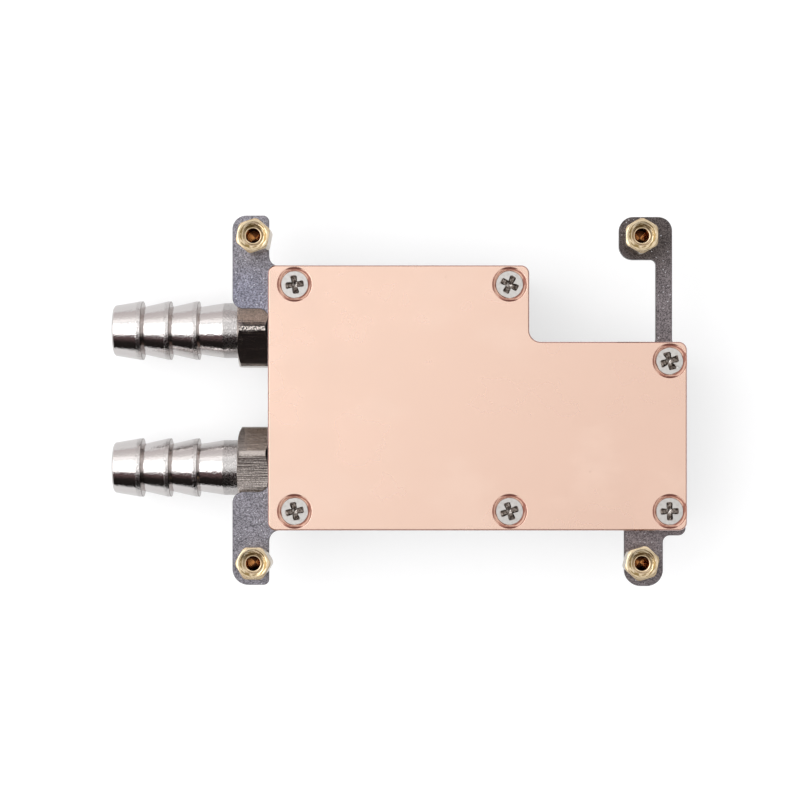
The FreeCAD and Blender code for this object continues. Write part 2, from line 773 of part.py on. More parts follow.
def make_standoff(number, across, up):
    """A hex standoff on the bracket, its shank swaged through the sheet and its tapped mouth dished."""
    body = new_body(f"standoff_{number}")
    name = f"standoff_{number}"
    outline = new_sketch(body, f"{name}_hex", "XY_Plane")
    draw_polygon(outline, hexagon("standoff_across_flats", "0"))
    add_pad(body, f"{name}_column", outline, "standoff_height")
    shank = "standoff_shank_diameter / 2"
    flare = "standoff_flare_diameter / 2"
    foot = new_sketch(body, f"{name}_foot_profile", "XZ_Plane")
    draw_polygon(foot, [
        ("0", "0"),
        (shank, "0"),
        (shank, "-bracket_thickness"),
        (flare, "-bracket_thickness"),
        (shank, "-bracket_thickness - standoff_flare_height"),
        ("0", "-bracket_thickness - standoff_flare_height"),
    ])
    add_turned(body, f"{name}_foot", foot)
    chamfer = new_sketch(body, f"{name}_chamfer_profile", "XZ_Plane")
    face = "standoff_face_diameter / 2"
    corner = f"({corner_reach('standoff_across_flats')} - standoff_corner_break)"
    beyond = "standoff_across_flats"
    drop = f"({corner} - {face}) * tan(hex_chamfer_angle)"
    draw_polygon(chamfer, [
        (face, "standoff_height"),
        (corner, f"standoff_height - {drop}"),
        (corner, "0"),
        (beyond, "0"),
        (beyond, "standoff_height"),
    ])
    add_turned(body, f"{name}_chamfer", chamfer, kind="PartDesign::Groove")
    bore = "standoff_bore_diameter / 2"
    start = "standoff_start_diameter / 2"
    cone = "standoff_cone_diameter / 2"
    dish_floor = "standoff_height - standoff_dish_depth"
    cone_floor = f"{dish_floor} - ({cone} - {start}) / tan(countersink_angle / 2)"
    floor = "standoff_height - standoff_bore_depth"
    mouth = new_sketch(body, f"{name}_bore_profile", "XZ_Plane")
    draw_polygon(mouth, [
        ("0", "standoff_height"),
        ("standoff_mouth_diameter / 2", "standoff_height"),
        (cone, dish_floor),
        (start, cone_floor),
        (bore, f"{cone_floor} - standoff_land_drop"),
        (bore, floor),
        ("0", f"{floor} - {bore} / tan(drill_point_angle / 2)"),
    ])
    add_turned(body, f"{name}_bore", mouth, kind="PartDesign::Groove")
    set_turn(body, f"standoff_turn_{number}")
    set_place(body, across, up, BRACKET_TOP)


def barb_profile():
    """Half the hose tail's section as (radius, distance from the housing), from the bore outwards."""
    bore = "fitting_bore_diameter / 2"
    thread = "fitting_thread_diameter / 2"
    root = "fitting_root_diameter / 2"
    ridge = "barb_ridge_diameter / 2"
    valley = "barb_valley_diameter / 2"
    nose = "nose_diameter / 2"
    hex_end = "port_seal_thickness + fitting_hex_length"
    root_end = f"{hex_end} + fitting_root_length"
    first_ridge = f"{root_end} + fitting_taper_length"
    tip = f"{first_ridge} + {BARB_COUNT - 1} * barb_pitch + nose_length"
    points = [
        (bore, "-fitting_thread_length"),
        (f"{thread} - fitting_thread_chamfer", "-fitting_thread_length"),
        (thread, "-fitting_thread_length + fitting_thread_chamfer"),
        (thread, hex_end),
        (root, hex_end),
        (root, root_end),
    ]
    for barb in range(BARB_COUNT):
        place = f"{first_ridge} + {barb} * barb_pitch"
        points.append((valley, place))
        points.append((ridge, place))
        points.append((ridge, f"{place} + barb_land"))
    points += [
        (nose, f"{tip} - nose_edge"),
        (f"{nose} - nose_edge", tip),
        (bore, tip),
    ]
    return points


def make_fitting(label, middle, turn):
    """A hose tail, drawn outwards from the housing's port face and laid along -X."""
    body = new_body(label)
    outline = new_sketch(body, f"{label}_hex", "XY_Plane", "port_seal_thickness")
    draw_polygon(outline, hexagon("fitting_across_flats", turn))
    draw_circle(outline, "0", "0", "fitting_bore_diameter / 2")
    add_pad(body, f"{label}_nut", outline, "fitting_hex_length")
    low = "port_seal_thickness"
    high = "port_seal_thickness + fitting_hex_length"
    face = "fitting_across_flats / 2"
    corner = f"({corner_reach('fitting_across_flats')} - fitting_corner_break)"
    beyond = "fitting_across_flats"
    drop = f"({corner} - {face}) * tan(hex_chamfer_angle)"
    turning = new_sketch(body, f"{label}_turning_profile", "XZ_Plane")
    draw_polygon(turning, [
        (face, low),
        (beyond, low),
        (beyond, high),
        (face, high),
        (corner, f"{high} - {drop}"),
        (corner, f"{low} + {drop}"),
    ])
    add_turned(body, f"{label}_turned_hex", turning, kind="PartDesign::Groove")
    tail = new_sketch(body, f"{label}_tail_profile", "XZ_Plane")
    draw_polygon(tail, barb_profile())
    add_turned(body, f"{label}_tail", tail)
    lay_outwards(body, middle)


def make_port_seal(label, middle):
    """The sealing ring between a fitting's hex and the housing."""
    body = new_body(label)
    inside = "(fitting_thread_diameter + port_seal_clearance) / 2"
    profile = new_sketch(body, f"{label}_profile", "XZ_Plane")
    draw_polygon(profile, [
        (inside, "0"),
        (f"{inside} + port_seal_width - port_seal_edge", "0"),
        (f"{inside} + port_seal_width", "port_seal_edge"),
        (f"{inside} + port_seal_width", "port_seal_thickness - port_seal_edge"),
        (f"{inside} + port_seal_width - port_seal_edge", "port_seal_thickness"),
        (inside, "port_seal_thickness"),
    ])
    add_turned(body, f"{label}_ring", profile)
    lay_outwards(body, middle)


def lay_outwards(body, middle):
    quarter_turn = FreeCAD.Rotation(FreeCAD.Vector(0, 1, 0), -HALF_TURN / 2)
    body.Placement = FreeCAD.Placement(FreeCAD.Vector(0, 0, 0), quarter_turn)
    set_place(body, PORT_FACE, middle, "port_height")


def check_and_write():
    doc.recompute()
    for item in doc.Objects:
        if "Invalid" in item.State or "Error" in item.State:
            raise RuntimeError(f"{item.Name} failed: {item.State}")
    for body in SUB_PARTS:
        if body.Shape.isNull() or not body.Shape.isValid():
            raise RuntimeError(f"{body.Label} has no valid shape")
        if len(body.Shape.Solids) != 1:
            raise RuntimeError(f"{body.Label} has {len(body.Shape.Solids)} solids")
    os.makedirs("parts", exist_ok=True)
    for body in SUB_PARTS:
        body.Shape.exportStep(os.path.join("parts", f"{body.Label}.step"))
        print(f"{body.Label}: {body.Shape.Volume:.1f} cubic mm")


make_body()
make_face_seal()
make_bracket()
make_base_plate()
for number, (across, up) in enumerate(STANDOFF_PLACES, start=1):
    make_standoff(number, across, up)
for number, (across, up) in enumerate(SCREW_PLACES, start=1):
    make_insert(number, across, up)
    make_screw(number, across, up)
make_fitting("inlet_fitting", PORT_UPPER, "fitting_turn_upper")
make_fitting("outlet_fitting", PORT_LOWER, "fitting_turn_lower")
make_port_seal("inlet_seal", PORT_UPPER)
make_port_seal("outlet_seal", PORT_LOWER)
check_and_write()
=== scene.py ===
import math
import random

import bmesh
import bpy
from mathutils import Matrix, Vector


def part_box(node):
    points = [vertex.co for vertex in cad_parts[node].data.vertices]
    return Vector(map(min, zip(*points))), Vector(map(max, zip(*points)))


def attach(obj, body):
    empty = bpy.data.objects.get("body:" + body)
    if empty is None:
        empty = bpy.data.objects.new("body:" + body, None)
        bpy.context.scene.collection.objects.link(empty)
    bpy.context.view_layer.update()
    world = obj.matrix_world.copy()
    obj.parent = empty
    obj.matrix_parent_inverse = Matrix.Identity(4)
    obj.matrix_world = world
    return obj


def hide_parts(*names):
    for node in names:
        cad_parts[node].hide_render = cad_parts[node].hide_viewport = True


# Liquid cooling block seen from its contact side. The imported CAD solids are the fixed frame. This script
# gives them their finishes, models the screws and tapped standoffs in full, and sets the floor, cards,
# lamps and camera. Lengths are metres and angles are degrees, where a note doesn't say otherwise.

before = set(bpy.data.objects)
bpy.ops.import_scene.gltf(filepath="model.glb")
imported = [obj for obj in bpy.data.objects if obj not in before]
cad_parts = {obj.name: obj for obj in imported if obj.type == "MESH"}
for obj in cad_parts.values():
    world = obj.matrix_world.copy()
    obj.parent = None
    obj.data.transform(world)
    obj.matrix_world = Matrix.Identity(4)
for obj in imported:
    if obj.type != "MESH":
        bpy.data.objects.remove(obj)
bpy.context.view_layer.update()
mm = 0.001
print("frame: loaded", len(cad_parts), "nodes")


# small tools for the node trees

softNoise = (0.3, 0.7)       # the parts of a noise's range that a fade spreads out
clearNoise = (0.35, 0.65)
crispNoise = (0.44, 0.56)


def addNode(tree, kind, inputs=None, **settings):
    made = tree.nodes.new("ShaderNode" + kind)
    for name, setting in settings.items():
        setattr(made, name, setting)
    for name, given in (inputs or {}).items():
        if isinstance(given, bpy.types.NodeSocket):
            tree.links.new(given, made.inputs[name])
        else:
            made.inputs[name].default_value = given
    return made


def calc(tree, operation, first, second=0.0, third=0.0):
    return addNode(tree, "Math", {0: first, 1: second, 2: third}, operation=operation).outputs[0]


def fade(tree, source, start, stop, low=0.0, high=1.0):
    # a smooth step from low to high as source goes from start to stop
    inputs = {"Value": source, "From Min": start, "From Max": stop, "To Min": low, "To Max": high}
    return addNode(tree, "MapRange", inputs, interpolation_type="SMOOTHSTEP").outputs[0]


def band(tree, source, low, high, soft):
    # 1 between low and high, 0 outside
    return calc(tree, "MULTIPLY", fade(tree, source, low - soft, low + soft),
                fade(tree, source, high - soft, high + soft, 1, 0))


def blendColours(tree, factor, first, second, blend="MIX"):
    made = addNode(tree, "Mix", data_type="RGBA", blend_type=blend)
    for socket, given in zip((made.inputs[0], made.inputs[6], made.inputs[7]), (factor, first, second)):
        if isinstance(given, bpy.types.NodeSocket):
            tree.links.new(given, socket)
        elif isinstance(given, tuple):
            socket.default_value = (*given, 1)
        else:
            socket.default_value = given
    return made.outputs[2]


def shaded(tree, colour, amount):
    # the colour made lighter or darker by a number
    grey = addNode(tree, "CombineXYZ", {0: amount, 1: amount, 2: amount}).outputs[0]
    return blendColours(tree, 1.0, colour, grey, "MULTIPLY")


def noise(tree, place, scale, detail=3.0, rough=0.5):
    inputs = {"Vector": place, "Scale": scale, "Detail": detail, "Roughness": rough}
    return addNode(tree, "TexNoise", inputs).outputs["Fac"]


def centred(tree, height):
    # noise about 0, so that a mask on it leaves no step
    return calc(tree, "SUBTRACT", height, 0.5)


def stretched(tree, place, scales):
    # coordinates squeezed along each axis, for streaks and turning marks
    return addNode(tree, "Mapping", {"Vector": place, "Scale": scales}).outputs[0]


def cells(tree, place, perMetre):
    # random cells: the distance to the nearest centre, and one random number for each cell
    made = addNode(tree, "TexVoronoi", {"Vector": place, "Scale": perMetre}, feature="F1")
    return made.outputs["Distance"], splitPlace(tree, made.outputs["Color"])[0]


def splitPlace(tree, place):
    parts = addNode(tree, "SeparateXYZ", {0: place})
    return parts.outputs[0], parts.outputs[1], parts.outputs[2]


def distanceTo(tree, place, target):
    return addNode(tree, "VectorMath", {0: place, 1: target}, operation="DISTANCE").outputs["Value"]


def setBump(tree, shader, height, distance, below=None):
    inputs = {"Height": height, "Distance": distance, "Strength": 1.0}
    if below is not None:
        inputs["Normal"] = below
    bump = addNode(tree, "Bump", inputs).outputs[0]
    tree.links.new(bump, shader.inputs["Normal"])
    return bump


def edgeMask(tree, radius, start=0.02, stop=0.16):
    # 1 along sharp edges, 0 on the faces
    rounded = addNode(tree, "Bevel", {"Radius": radius}, samples=8).outputs[0]
    flat = addNode(tree, "NewGeometry").outputs["Normal"]
    alike = addNode(tree, "VectorMath", {0: rounded, 1: flat}, operation="DOT_PRODUCT").outputs["Value"]
    return fade(tree, alike, 1 - start, 1 - stop)


def newFinish(name, metallic=0.0, specular=0.5):
    finish = bpy.data.materials.new(name)
    finish.use_nodes = True
    shader = finish.node_tree.nodes["Principled BSDF"]
    shader.inputs["Metallic"].default_value = metallic
    shader.inputs["Specular IOR Level"].default_value = specular
    place = addNode(finish.node_tree, "TexCoord").outputs["Object"]
    return finish, finish.node_tree, shader, place


def dress(finish, *names):
    # gives a CAD node its finish through the object's own material slots
    for name in names:
        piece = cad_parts[name]
        if not piece.material_slots:
            piece.data.materials.append(finish)
        for slot in piece.material_slots:
            slot.link = "OBJECT"
            slot.material = finish


# small tools for the meshes

def numbered(name, count):
    return [f"{name}_{number}" for number in range(1, count + 1)]


def topCentre(node):
    # the middle of a node's upper end
    low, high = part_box(node)
    return Vector(((low[0] + high[0]) / 2, (low[1] + high[1]) / 2, high[2]))


def ringsToPiece(name, rings, startPoint, endPoint, finish, sharpAngle=32):
    # joins rings of equal count with quads and closes both ends on a point each
    mesh = bmesh.new()
    made = [[mesh.verts.new(point) for point in ring] for ring in rings]
    count = len(made[0])
    for lower, upper in zip(made, made[1:]):
        for index in range(count):
            following = (index + 1) % count
            mesh.faces.new((lower[index], lower[following], upper[following], upper[index]))
    for ring, point in ((made[0], startPoint), (made[-1], endPoint)):
        middle = mesh.verts.new(point)
        for index in range(count):
            mesh.faces.new((ring[index], ring[(index + 1) % count], middle))
    bmesh.ops.recalc_face_normals(mesh, faces=mesh.faces)
    data = bpy.data.meshes.new(name)
    mesh.to_mesh(data)
    mesh.free()
    data.polygons.foreach_set("use_smooth", [True] * len(data.polygons))
    data.set_sharp_from_angle(angle=math.radians(sharpAngle))
    data.materials.append(finish)
    piece = bpy.data.objects.new(name, data)
    bpy.context.collection.objects.link(piece)
    return piece


def ringAt(radius, height, angles):
    return [(radius * math.cos(angle), radius * math.sin(angle), height) for angle in angles]


thread = {
    "steepness": 1.35,    # how steep the flanks are
    "crest": 0.12,        # how wide the flat crest is
}


def threadDepth(height, angle, pitch):
    # how far into a thread's groove a point lies, from 0 on the crest to 1 at the root
    along = (height / pitch - angle / math.tau) % 1.0
    flank = abs(along - 0.5) * 2
    return min(1.0, max(0.0, (1 - flank) * thread["steepness"] - thread["crest"]))


# copper contact plate

copper = {
    # painted shade: the colour falls from colourLeft to colourRight towards the lower right corner
    "colourLeft": (0.80, 0.572, 0.468),
    "colourRight": (0.725, 0.505, 0.41),
    "toneEnds": (-0.03, 0.055),     # where the fall of the tone to the lower right starts and ends
    "toneSlant": 0.55,
    "smearColour": (0.82, 0.61, 0.51),
    "smearStretch": (1, 1.6, 1),
    "smearsPerMetre": 70,
    "smearRange": (0.45, 0.75),
    "smearStrength": 0.35,
    "speckColour": (0.45, 0.25, 0.18),
    "specks": [(230, 0.03, 0.7), (690, 0.05, 0.3)],    # cells to the metre, size in the cell, strength
    "speckCore": 0.4,               # the part of a speck that is fully dark
    "speckless": 0.62,              # the share of the cells that have no speck
    # painted shade on the broken edge of the face, and a painted highlight, a light lip, below it
    "edgeShadeColour": (0.40, 0.20, 0.16),
    "edgeTilt": (0.985, 0.93),      # the normal's height on the face and on the broken edge
    "edgeEnds": (0.00022, 0.0005),  # between these depths the walls take the face's own colour again
    "edgeRounding": 0.00022,
    "lipHighlightColour": (0.86, 0.66, 0.62),
    "lipDepth": 0.00011,            # how far down its broken edge the light lip starts
    "lipSoftness": (0.00002, 0.00004),
    "roughness": (0.18, 0.29),
    "cloudsPerMetre": 120,
    "scratchesPerMetre": (300, 9000, 9000),
    "scratchDepth": 0.0000006,
    # the countersinks, where the copper is freshly cut
    "sinkRadius": 0.00306,
    "sinkSoftness": 0.00006,
    "sinkTilt": (0.2, 0.5),
    "sinkColour": (0.97, 0.64, 0.50),
    "sinkMetallic": 0.45,
    "sinkRoughness": 0.12,          # how much duller than the face they are
    "sinkMarkDepth": 0.000006,
    "ringsPerMetre": 6500,
    "ringShades": (0.85, 1.08),
    "cutterMarks": (4200, 520),     # marks to the metre, outwards and around
    "cutterStrength": 0.9,
    "streakColour": (0.42, 0.15, 0.11),
    # painted shade: dark crescents above and below each countersunk screw, faint to its sides
    "crescentShadeColour": (0.20, 0.07, 0.05),
    "crescentEnds": (0.0025, 0.00275),   # how far above and below a screw the dark crescents set in
    "sideEnds": (0.00225, 0.00295),      # the same to its left and right, where they are faint
    "sideStrength": 0.25,
}


def makeCopper():
    finish, tree, shader, place = newFinish("polishedCopper", metallic=1.0)
    across, along, up = splitPlace(tree, place)
    # painted shade: the tone falls off towards the lower right corner
    slant = calc(tree, "SUBTRACT", across, calc(tree, "MULTIPLY", along, copper["toneSlant"]))
    tone = fade(tree, slant, *copper["toneEnds"])
    colour = blendColours(tree, tone, copper["colourLeft"], copper["colourRight"])
    smears = noise(tree, stretched(tree, place, copper["smearStretch"]), copper["smearsPerMetre"], 4)
    smear = fade(tree, smears, *copper["smearRange"], 0, copper["smearStrength"])
    colour = blendColours(tree, smear, colour, copper["smearColour"])
    for perMetre, size, strength in copper["specks"]:
        near, pick = cells(tree, place, perMetre)
        dot = fade(tree, near, size, size * copper["speckCore"])
        dot = calc(tree, "MULTIPLY", dot, calc(tree, "GREATER_THAN", pick, copper["speckless"]))
        colour = blendColours(tree, calc(tree, "MULTIPLY", dot, strength), colour, copper["speckColour"])
    # painted shade: the broken edge of the contact face is darker than the face, and a painted highlight, a
    # light lip, runs below it
    tilt = splitPlace(tree, addNode(tree, "NewGeometry").outputs["Normal"])[2]
    edge = fade(tree, tilt, *copper["edgeTilt"])
    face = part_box("base_plate")[1][2]
    plain = colour
    lipTop = face - copper["lipDepth"]
    lip = fade(tree, up, lipTop + copper["lipSoftness"][0], lipTop - copper["lipSoftness"][1])
    edgeShadeColour = blendColours(tree, lip, copper["edgeShadeColour"], copper["lipHighlightColour"])
    wall = fade(tree, up, face - copper["edgeEnds"][0], face - copper["edgeEnds"][1])
    edgeShadeColour = blendColours(tree, wall, edgeShadeColour, plain)
    colour = blendColours(tree, edge, colour, edgeShadeColour)
    # fresh cut copper in the countersinks, with a crescent of painted shade at the top and the bottom of
    # each
    toScrew, aside, ahead = None, 0.0, 0.0
    flat = addNode(tree, "CombineXYZ", {0: across, 1: along}).outputs[0]
    for name in numbered("screw", 6):
        middle = topCentre(name)
        here = distanceTo(tree, flat, (middle.x, middle.y, 0))
        near = calc(tree, "LESS_THAN", here, 2 * copper["sinkRadius"])
        aside = calc(tree, "MULTIPLY_ADD", near, calc(tree, "SUBTRACT", across, middle.x), aside)
        ahead = calc(tree, "MULTIPLY_ADD", near, calc(tree, "SUBTRACT", along, middle.y), ahead)
        toScrew = here if toScrew is None else calc(tree, "MINIMUM", toScrew, here)
    sink = fade(tree, toScrew, copper["sinkRadius"], copper["sinkRadius"] - copper["sinkSoftness"])
    sunk = calc(tree, "MULTIPLY", calc(tree, "MULTIPLY", sink, edge), fade(tree, tilt, *copper["sinkTilt"]))
    onCone = addNode(tree, "CombineXYZ", {0: toScrew, 1: up}).outputs[0]
    rings = noise(tree, onCone, copper["ringsPerMetre"], 2)
    sinkColour = shaded(tree, copper["sinkColour"], fade(tree, rings, *clearNoise, *copper["ringShades"]))
    # cutter marks: dark arcs that come and go round each sink
    outwards, around = copper["cutterMarks"]
    inputs = {0: calc(tree, "MULTIPLY", toScrew, outwards), 1: calc(tree, "MULTIPLY", aside, around),
              2: calc(tree, "MULTIPLY", ahead, around)}
    marks = noise(tree, addNode(tree, "CombineXYZ", inputs).outputs[0], 1, 2)
    marks = fade(tree, marks, *crispNoise, 0, copper["cutterStrength"])
    sinkColour = blendColours(tree, marks, sinkColour, copper["streakColour"])
    # painted shade: crescents above and below each screw, faint to its sides
    shadeCrescent = fade(tree, calc(tree, "ABSOLUTE", ahead), *copper["crescentEnds"])
    faint = fade(tree, calc(tree, "ABSOLUTE", aside), *copper["sideEnds"], 0, copper["sideStrength"])
    dark = calc(tree, "MAXIMUM", shadeCrescent, faint)
    sinkColour = blendColours(tree, dark, sinkColour, copper["crescentShadeColour"])
    colour = blendColours(tree, sunk, colour, sinkColour)
    tree.links.new(fade(tree, sunk, 0, 1, 1, copper["sinkMetallic"]), shader.inputs["Metallic"])
    tree.links.new(colour, shader.inputs["Base Color"])
    cloud = noise(tree, place, copper["cloudsPerMetre"], 5)
    satin = fade(tree, cloud, *softNoise, *copper["roughness"])
    satin = calc(tree, "ADD", satin, calc(tree, "MULTIPLY", sunk, copper["sinkRoughness"]))
    tree.links.new(satin, shader.inputs["Roughness"])
    below = addNode(tree, "Bevel", {"Radius": copper["edgeRounding"]}, samples=6).outputs[0]
    scratches = noise(tree, stretched(tree, place, copper["scratchesPerMetre"]), 1, 3)
    below = setBump(tree, shader, scratches, copper["scratchDepth"], below)
    setBump(tree, shader, calc(tree, "MULTIPLY", rings, sunk), copper["sinkMarkDepth"], below)
    return finish


dress(makeCopper(), "base_plate")
print("copper plate: done")


# sheet steel bracket

steel = {
    # painted light and shade: the left ears lighter and the right ones darker, as the gloss falls off to
    # the right
    "colourLeft": (0.222, 0.212, 0.238),
    "colourRight": (0.172, 0.150, 0.156),
    "toneEnds": (-0.034, 0.034),
    # painted light: the under sides lighter and warmer than the top, brightest under the upper left tab
    "underLightColour": (0.34, 0.29, 0.26),
    "underTilt": (0.2, -0.5),   # the normal's height where the under side starts and is full
    # painted shade: a dark outline along the sheet's edges; the washer's mark takes the same colour
    "edgeShadeColour": (0.035, 0.032, 0.035),
    "edgeWidth": 0.00024,
    "roughness": 0.40,
    "grainsPerMetre": 7400,
    "grainContrast": 0.52,
    "bumpsPerMetre": 6000,
    "bumpDepth": 0.000006,
    "patchesPerMetre": 420,
    "patchShades": (0.90, 1.10),
    "glintColour": (0.66, 0.66, 0.70),
    "glintsPerMetre": 2500,
    "glintSize": (0.30, 0.12),
    "glintless": 0.86,          # the share of the cells that have no glint
    # patches: place, reach, colour, strength. A bluish patch on the upper left ear, then painted light and
    # shade on the right: darker on the upper ear, lighter on the lower foot
    "tintsAndShades": [((-0.0352, 0.0175, 0.0175), 0.0075, (0.195, 0.205, 0.29), 0.4),
              ((0.0345, 0.0285, 0.0175), 0.0095, (0.080, 0.067, 0.063), 0.9),
              ((0.0335, -0.0245, 0.0175), 0.0055, (0.21, 0.178, 0.185), 0.8)],
    # painted light: the bright patch under the upper left tab
    "underLight": ((-0.034, 0.014, 0.016), 0.008, (0.62, 0.50, 0.44), 1.0),
    "patchCore": 0.25,           # the part of a patch's reach where it is full
    "markRadius": 0.0043,       # a washer's faint witness mark above the lower left standoff
    "markWidth": 0.00012,
    "markSoftness": 0.00005,
    "markEnds": (0.0002, 0.0015),
    "markStrength": 0.45,
}


def patched(tree, place, colour, centre, reach, patch, strength):
    near = fade(tree, distanceTo(tree, place, centre), reach, reach * steel["patchCore"], 0, strength)
    return blendColours(tree, near, colour, patch)


def makeSteel():
    finish, tree, shader, place = newFinish("grainedSteel", metallic=1.0)
    across, along = splitPlace(tree, place)[:2]
    # painted light and shade: lighter to the left, darker to the right
    tone = fade(tree, across, *steel["toneEnds"])
    colour = blendColours(tree, tone, steel["colourLeft"], steel["colourRight"])
    # a bluish patch, and painted light and shade on the right ears
    for patch in steel["tintsAndShades"]:
        colour = patched(tree, place, colour, *patch)
    # painted light: the under sides lighter and warmer
    tilt = splitPlace(tree, addNode(tree, "NewGeometry").outputs["Normal"])[2]
    under = patched(tree, place, steel["underLightColour"], *steel["underLight"])
    colour = blendColours(tree, fade(tree, tilt, *steel["underTilt"]), colour, under)
    shade = cells(tree, place, steel["grainsPerMetre"])[1]
    contrast = steel["grainContrast"]
    grain = fade(tree, shade, 0, 1, 1 - contrast, 1 + contrast)
    colour = shaded(tree, colour, grain)
    patches = noise(tree, place, steel["patchesPerMetre"], 3)
    colour = shaded(tree, colour, fade(tree, patches, *softNoise, *steel["patchShades"]))
    near, pick = cells(tree, place, steel["glintsPerMetre"])
    glint = fade(tree, near, *steel["glintSize"])
    glint = calc(tree, "MULTIPLY", glint, calc(tree, "GREATER_THAN", pick, steel["glintless"]))
    colour = blendColours(tree, glint, colour, steel["glintColour"])
    # the faint arc that a washer left
    middle = topCentre("standoff_3")
    flat = addNode(tree, "CombineXYZ", {0: across, 1: along}).outputs[0]
    fromStud = distanceTo(tree, flat, (middle.x, middle.y, 0))
    inner, outer = steel["markRadius"], steel["markRadius"] + steel["markWidth"]
    arc = band(tree, fromStud, inner, outer, steel["markSoftness"])
    start, stop = steel["markEnds"]
    above = fade(tree, along, middle.y + start, middle.y + stop, 0, steel["markStrength"])
    # the washer's mark takes the colour of the painted edge shade
    colour = blendColours(tree, calc(tree, "MULTIPLY", arc, above), colour, steel["edgeShadeColour"])
    # painted shade: a dark outline along the edges
    colour = blendColours(tree, edgeMask(tree, steel["edgeWidth"]), colour, steel["edgeShadeColour"])
    tree.links.new(colour, shader.inputs["Base Color"])
    shader.inputs["Roughness"].default_value = steel["roughness"]
    setBump(tree, shader, noise(tree, place, steel["bumpsPerMetre"], 2), steel["bumpDepth"])
    return finish


dress(makeSteel(), "bracket")
print("bracket: done")


# nickel plated hose tails

tails = {
    # where the parts of both tails lie
    "axisMiddle": 0.0004,     # the two axes lie at this Y, plus and minus the half spacing
    "halfSpacing": 0.0122,
    "axisHeight": 0.008,
    "betweenNuts": (-0.002, 0.002),
    "hexEnds": (-0.0370, -0.0315),
    "hexSoftness": 0.00003,
    "rootEnds": (-0.0397, -0.0370),
    "ridges": (-0.0442, -0.0492, -0.0542),
    "roughBand": 0.0009,      # how far the coarse turning marks reach outwards from each ridge
    "bandSoftness": 0.0001,
    "cornerEnds": (0.00722, 0.00726),    # beyond this radius the hex corners are turned
    "stepTilt": (0.75, 0.9),  # how far a ridge's step face looks along the axis
    # tones
    "colour": (0.67, 0.64, 0.63),
    "hexColour": (0.60, 0.54, 0.50),
    "stepColour": (0.56, 0.51, 0.49),
    "rootShade": 0.87,
    "grainShades": (0.80, 1.22),
    "nutLightAndShade": (0.82, 1.10),           # painted shade on the lower nut, painted light on the upper one
    "lineColour": (0.13, 0.105, 0.09),   # a dark line on each ridge
    "lineStart": (0.00509, 0.00513),     # the line is there beyond this radius
    "lineReach": (0.00007, 0.00004),     # how far the line reaches outwards and inwards of the ridge
    "lineSoftness": 0.00002,
    "pitColour": (0.06, 0.055, 0.055),   # pits in the turned hex corners and the coarse bands
    "pitsPerMetre": 4600,
    "pitRange": (0.47, 0.56),
    "pitStrengths": (0.3, 0.95),         # in the lower nut's corners and in the upper nut's
    "bandPitStrength": 0.28,
    # roughness and relief
    "roughness": 0.09,
    "coarseRoughness": 0.30,
    "hexRoughness": (0.12, 0.24),
    "streakRange": (0.45, 0.7),
    "streaksPerMetre": (190, 4200, 4200),
    "streakDepth": 0.00004,
    "fineMarks": (3600, 2800, 2800),     # to the metre along each axis
    "fineDepth": 0.000034,
    "coarseMarks": (4400, 3600, 3600),
    "coarseDepth": 0.00005,
    "rootMarks": 0.5,         # how deep the root's marks are, as a share of the coarse depth
    "flatHollow": 6.0,        # how much the hex flats are hollowed by polishing, per metre
    "flatMiddle": 0.00099,
}


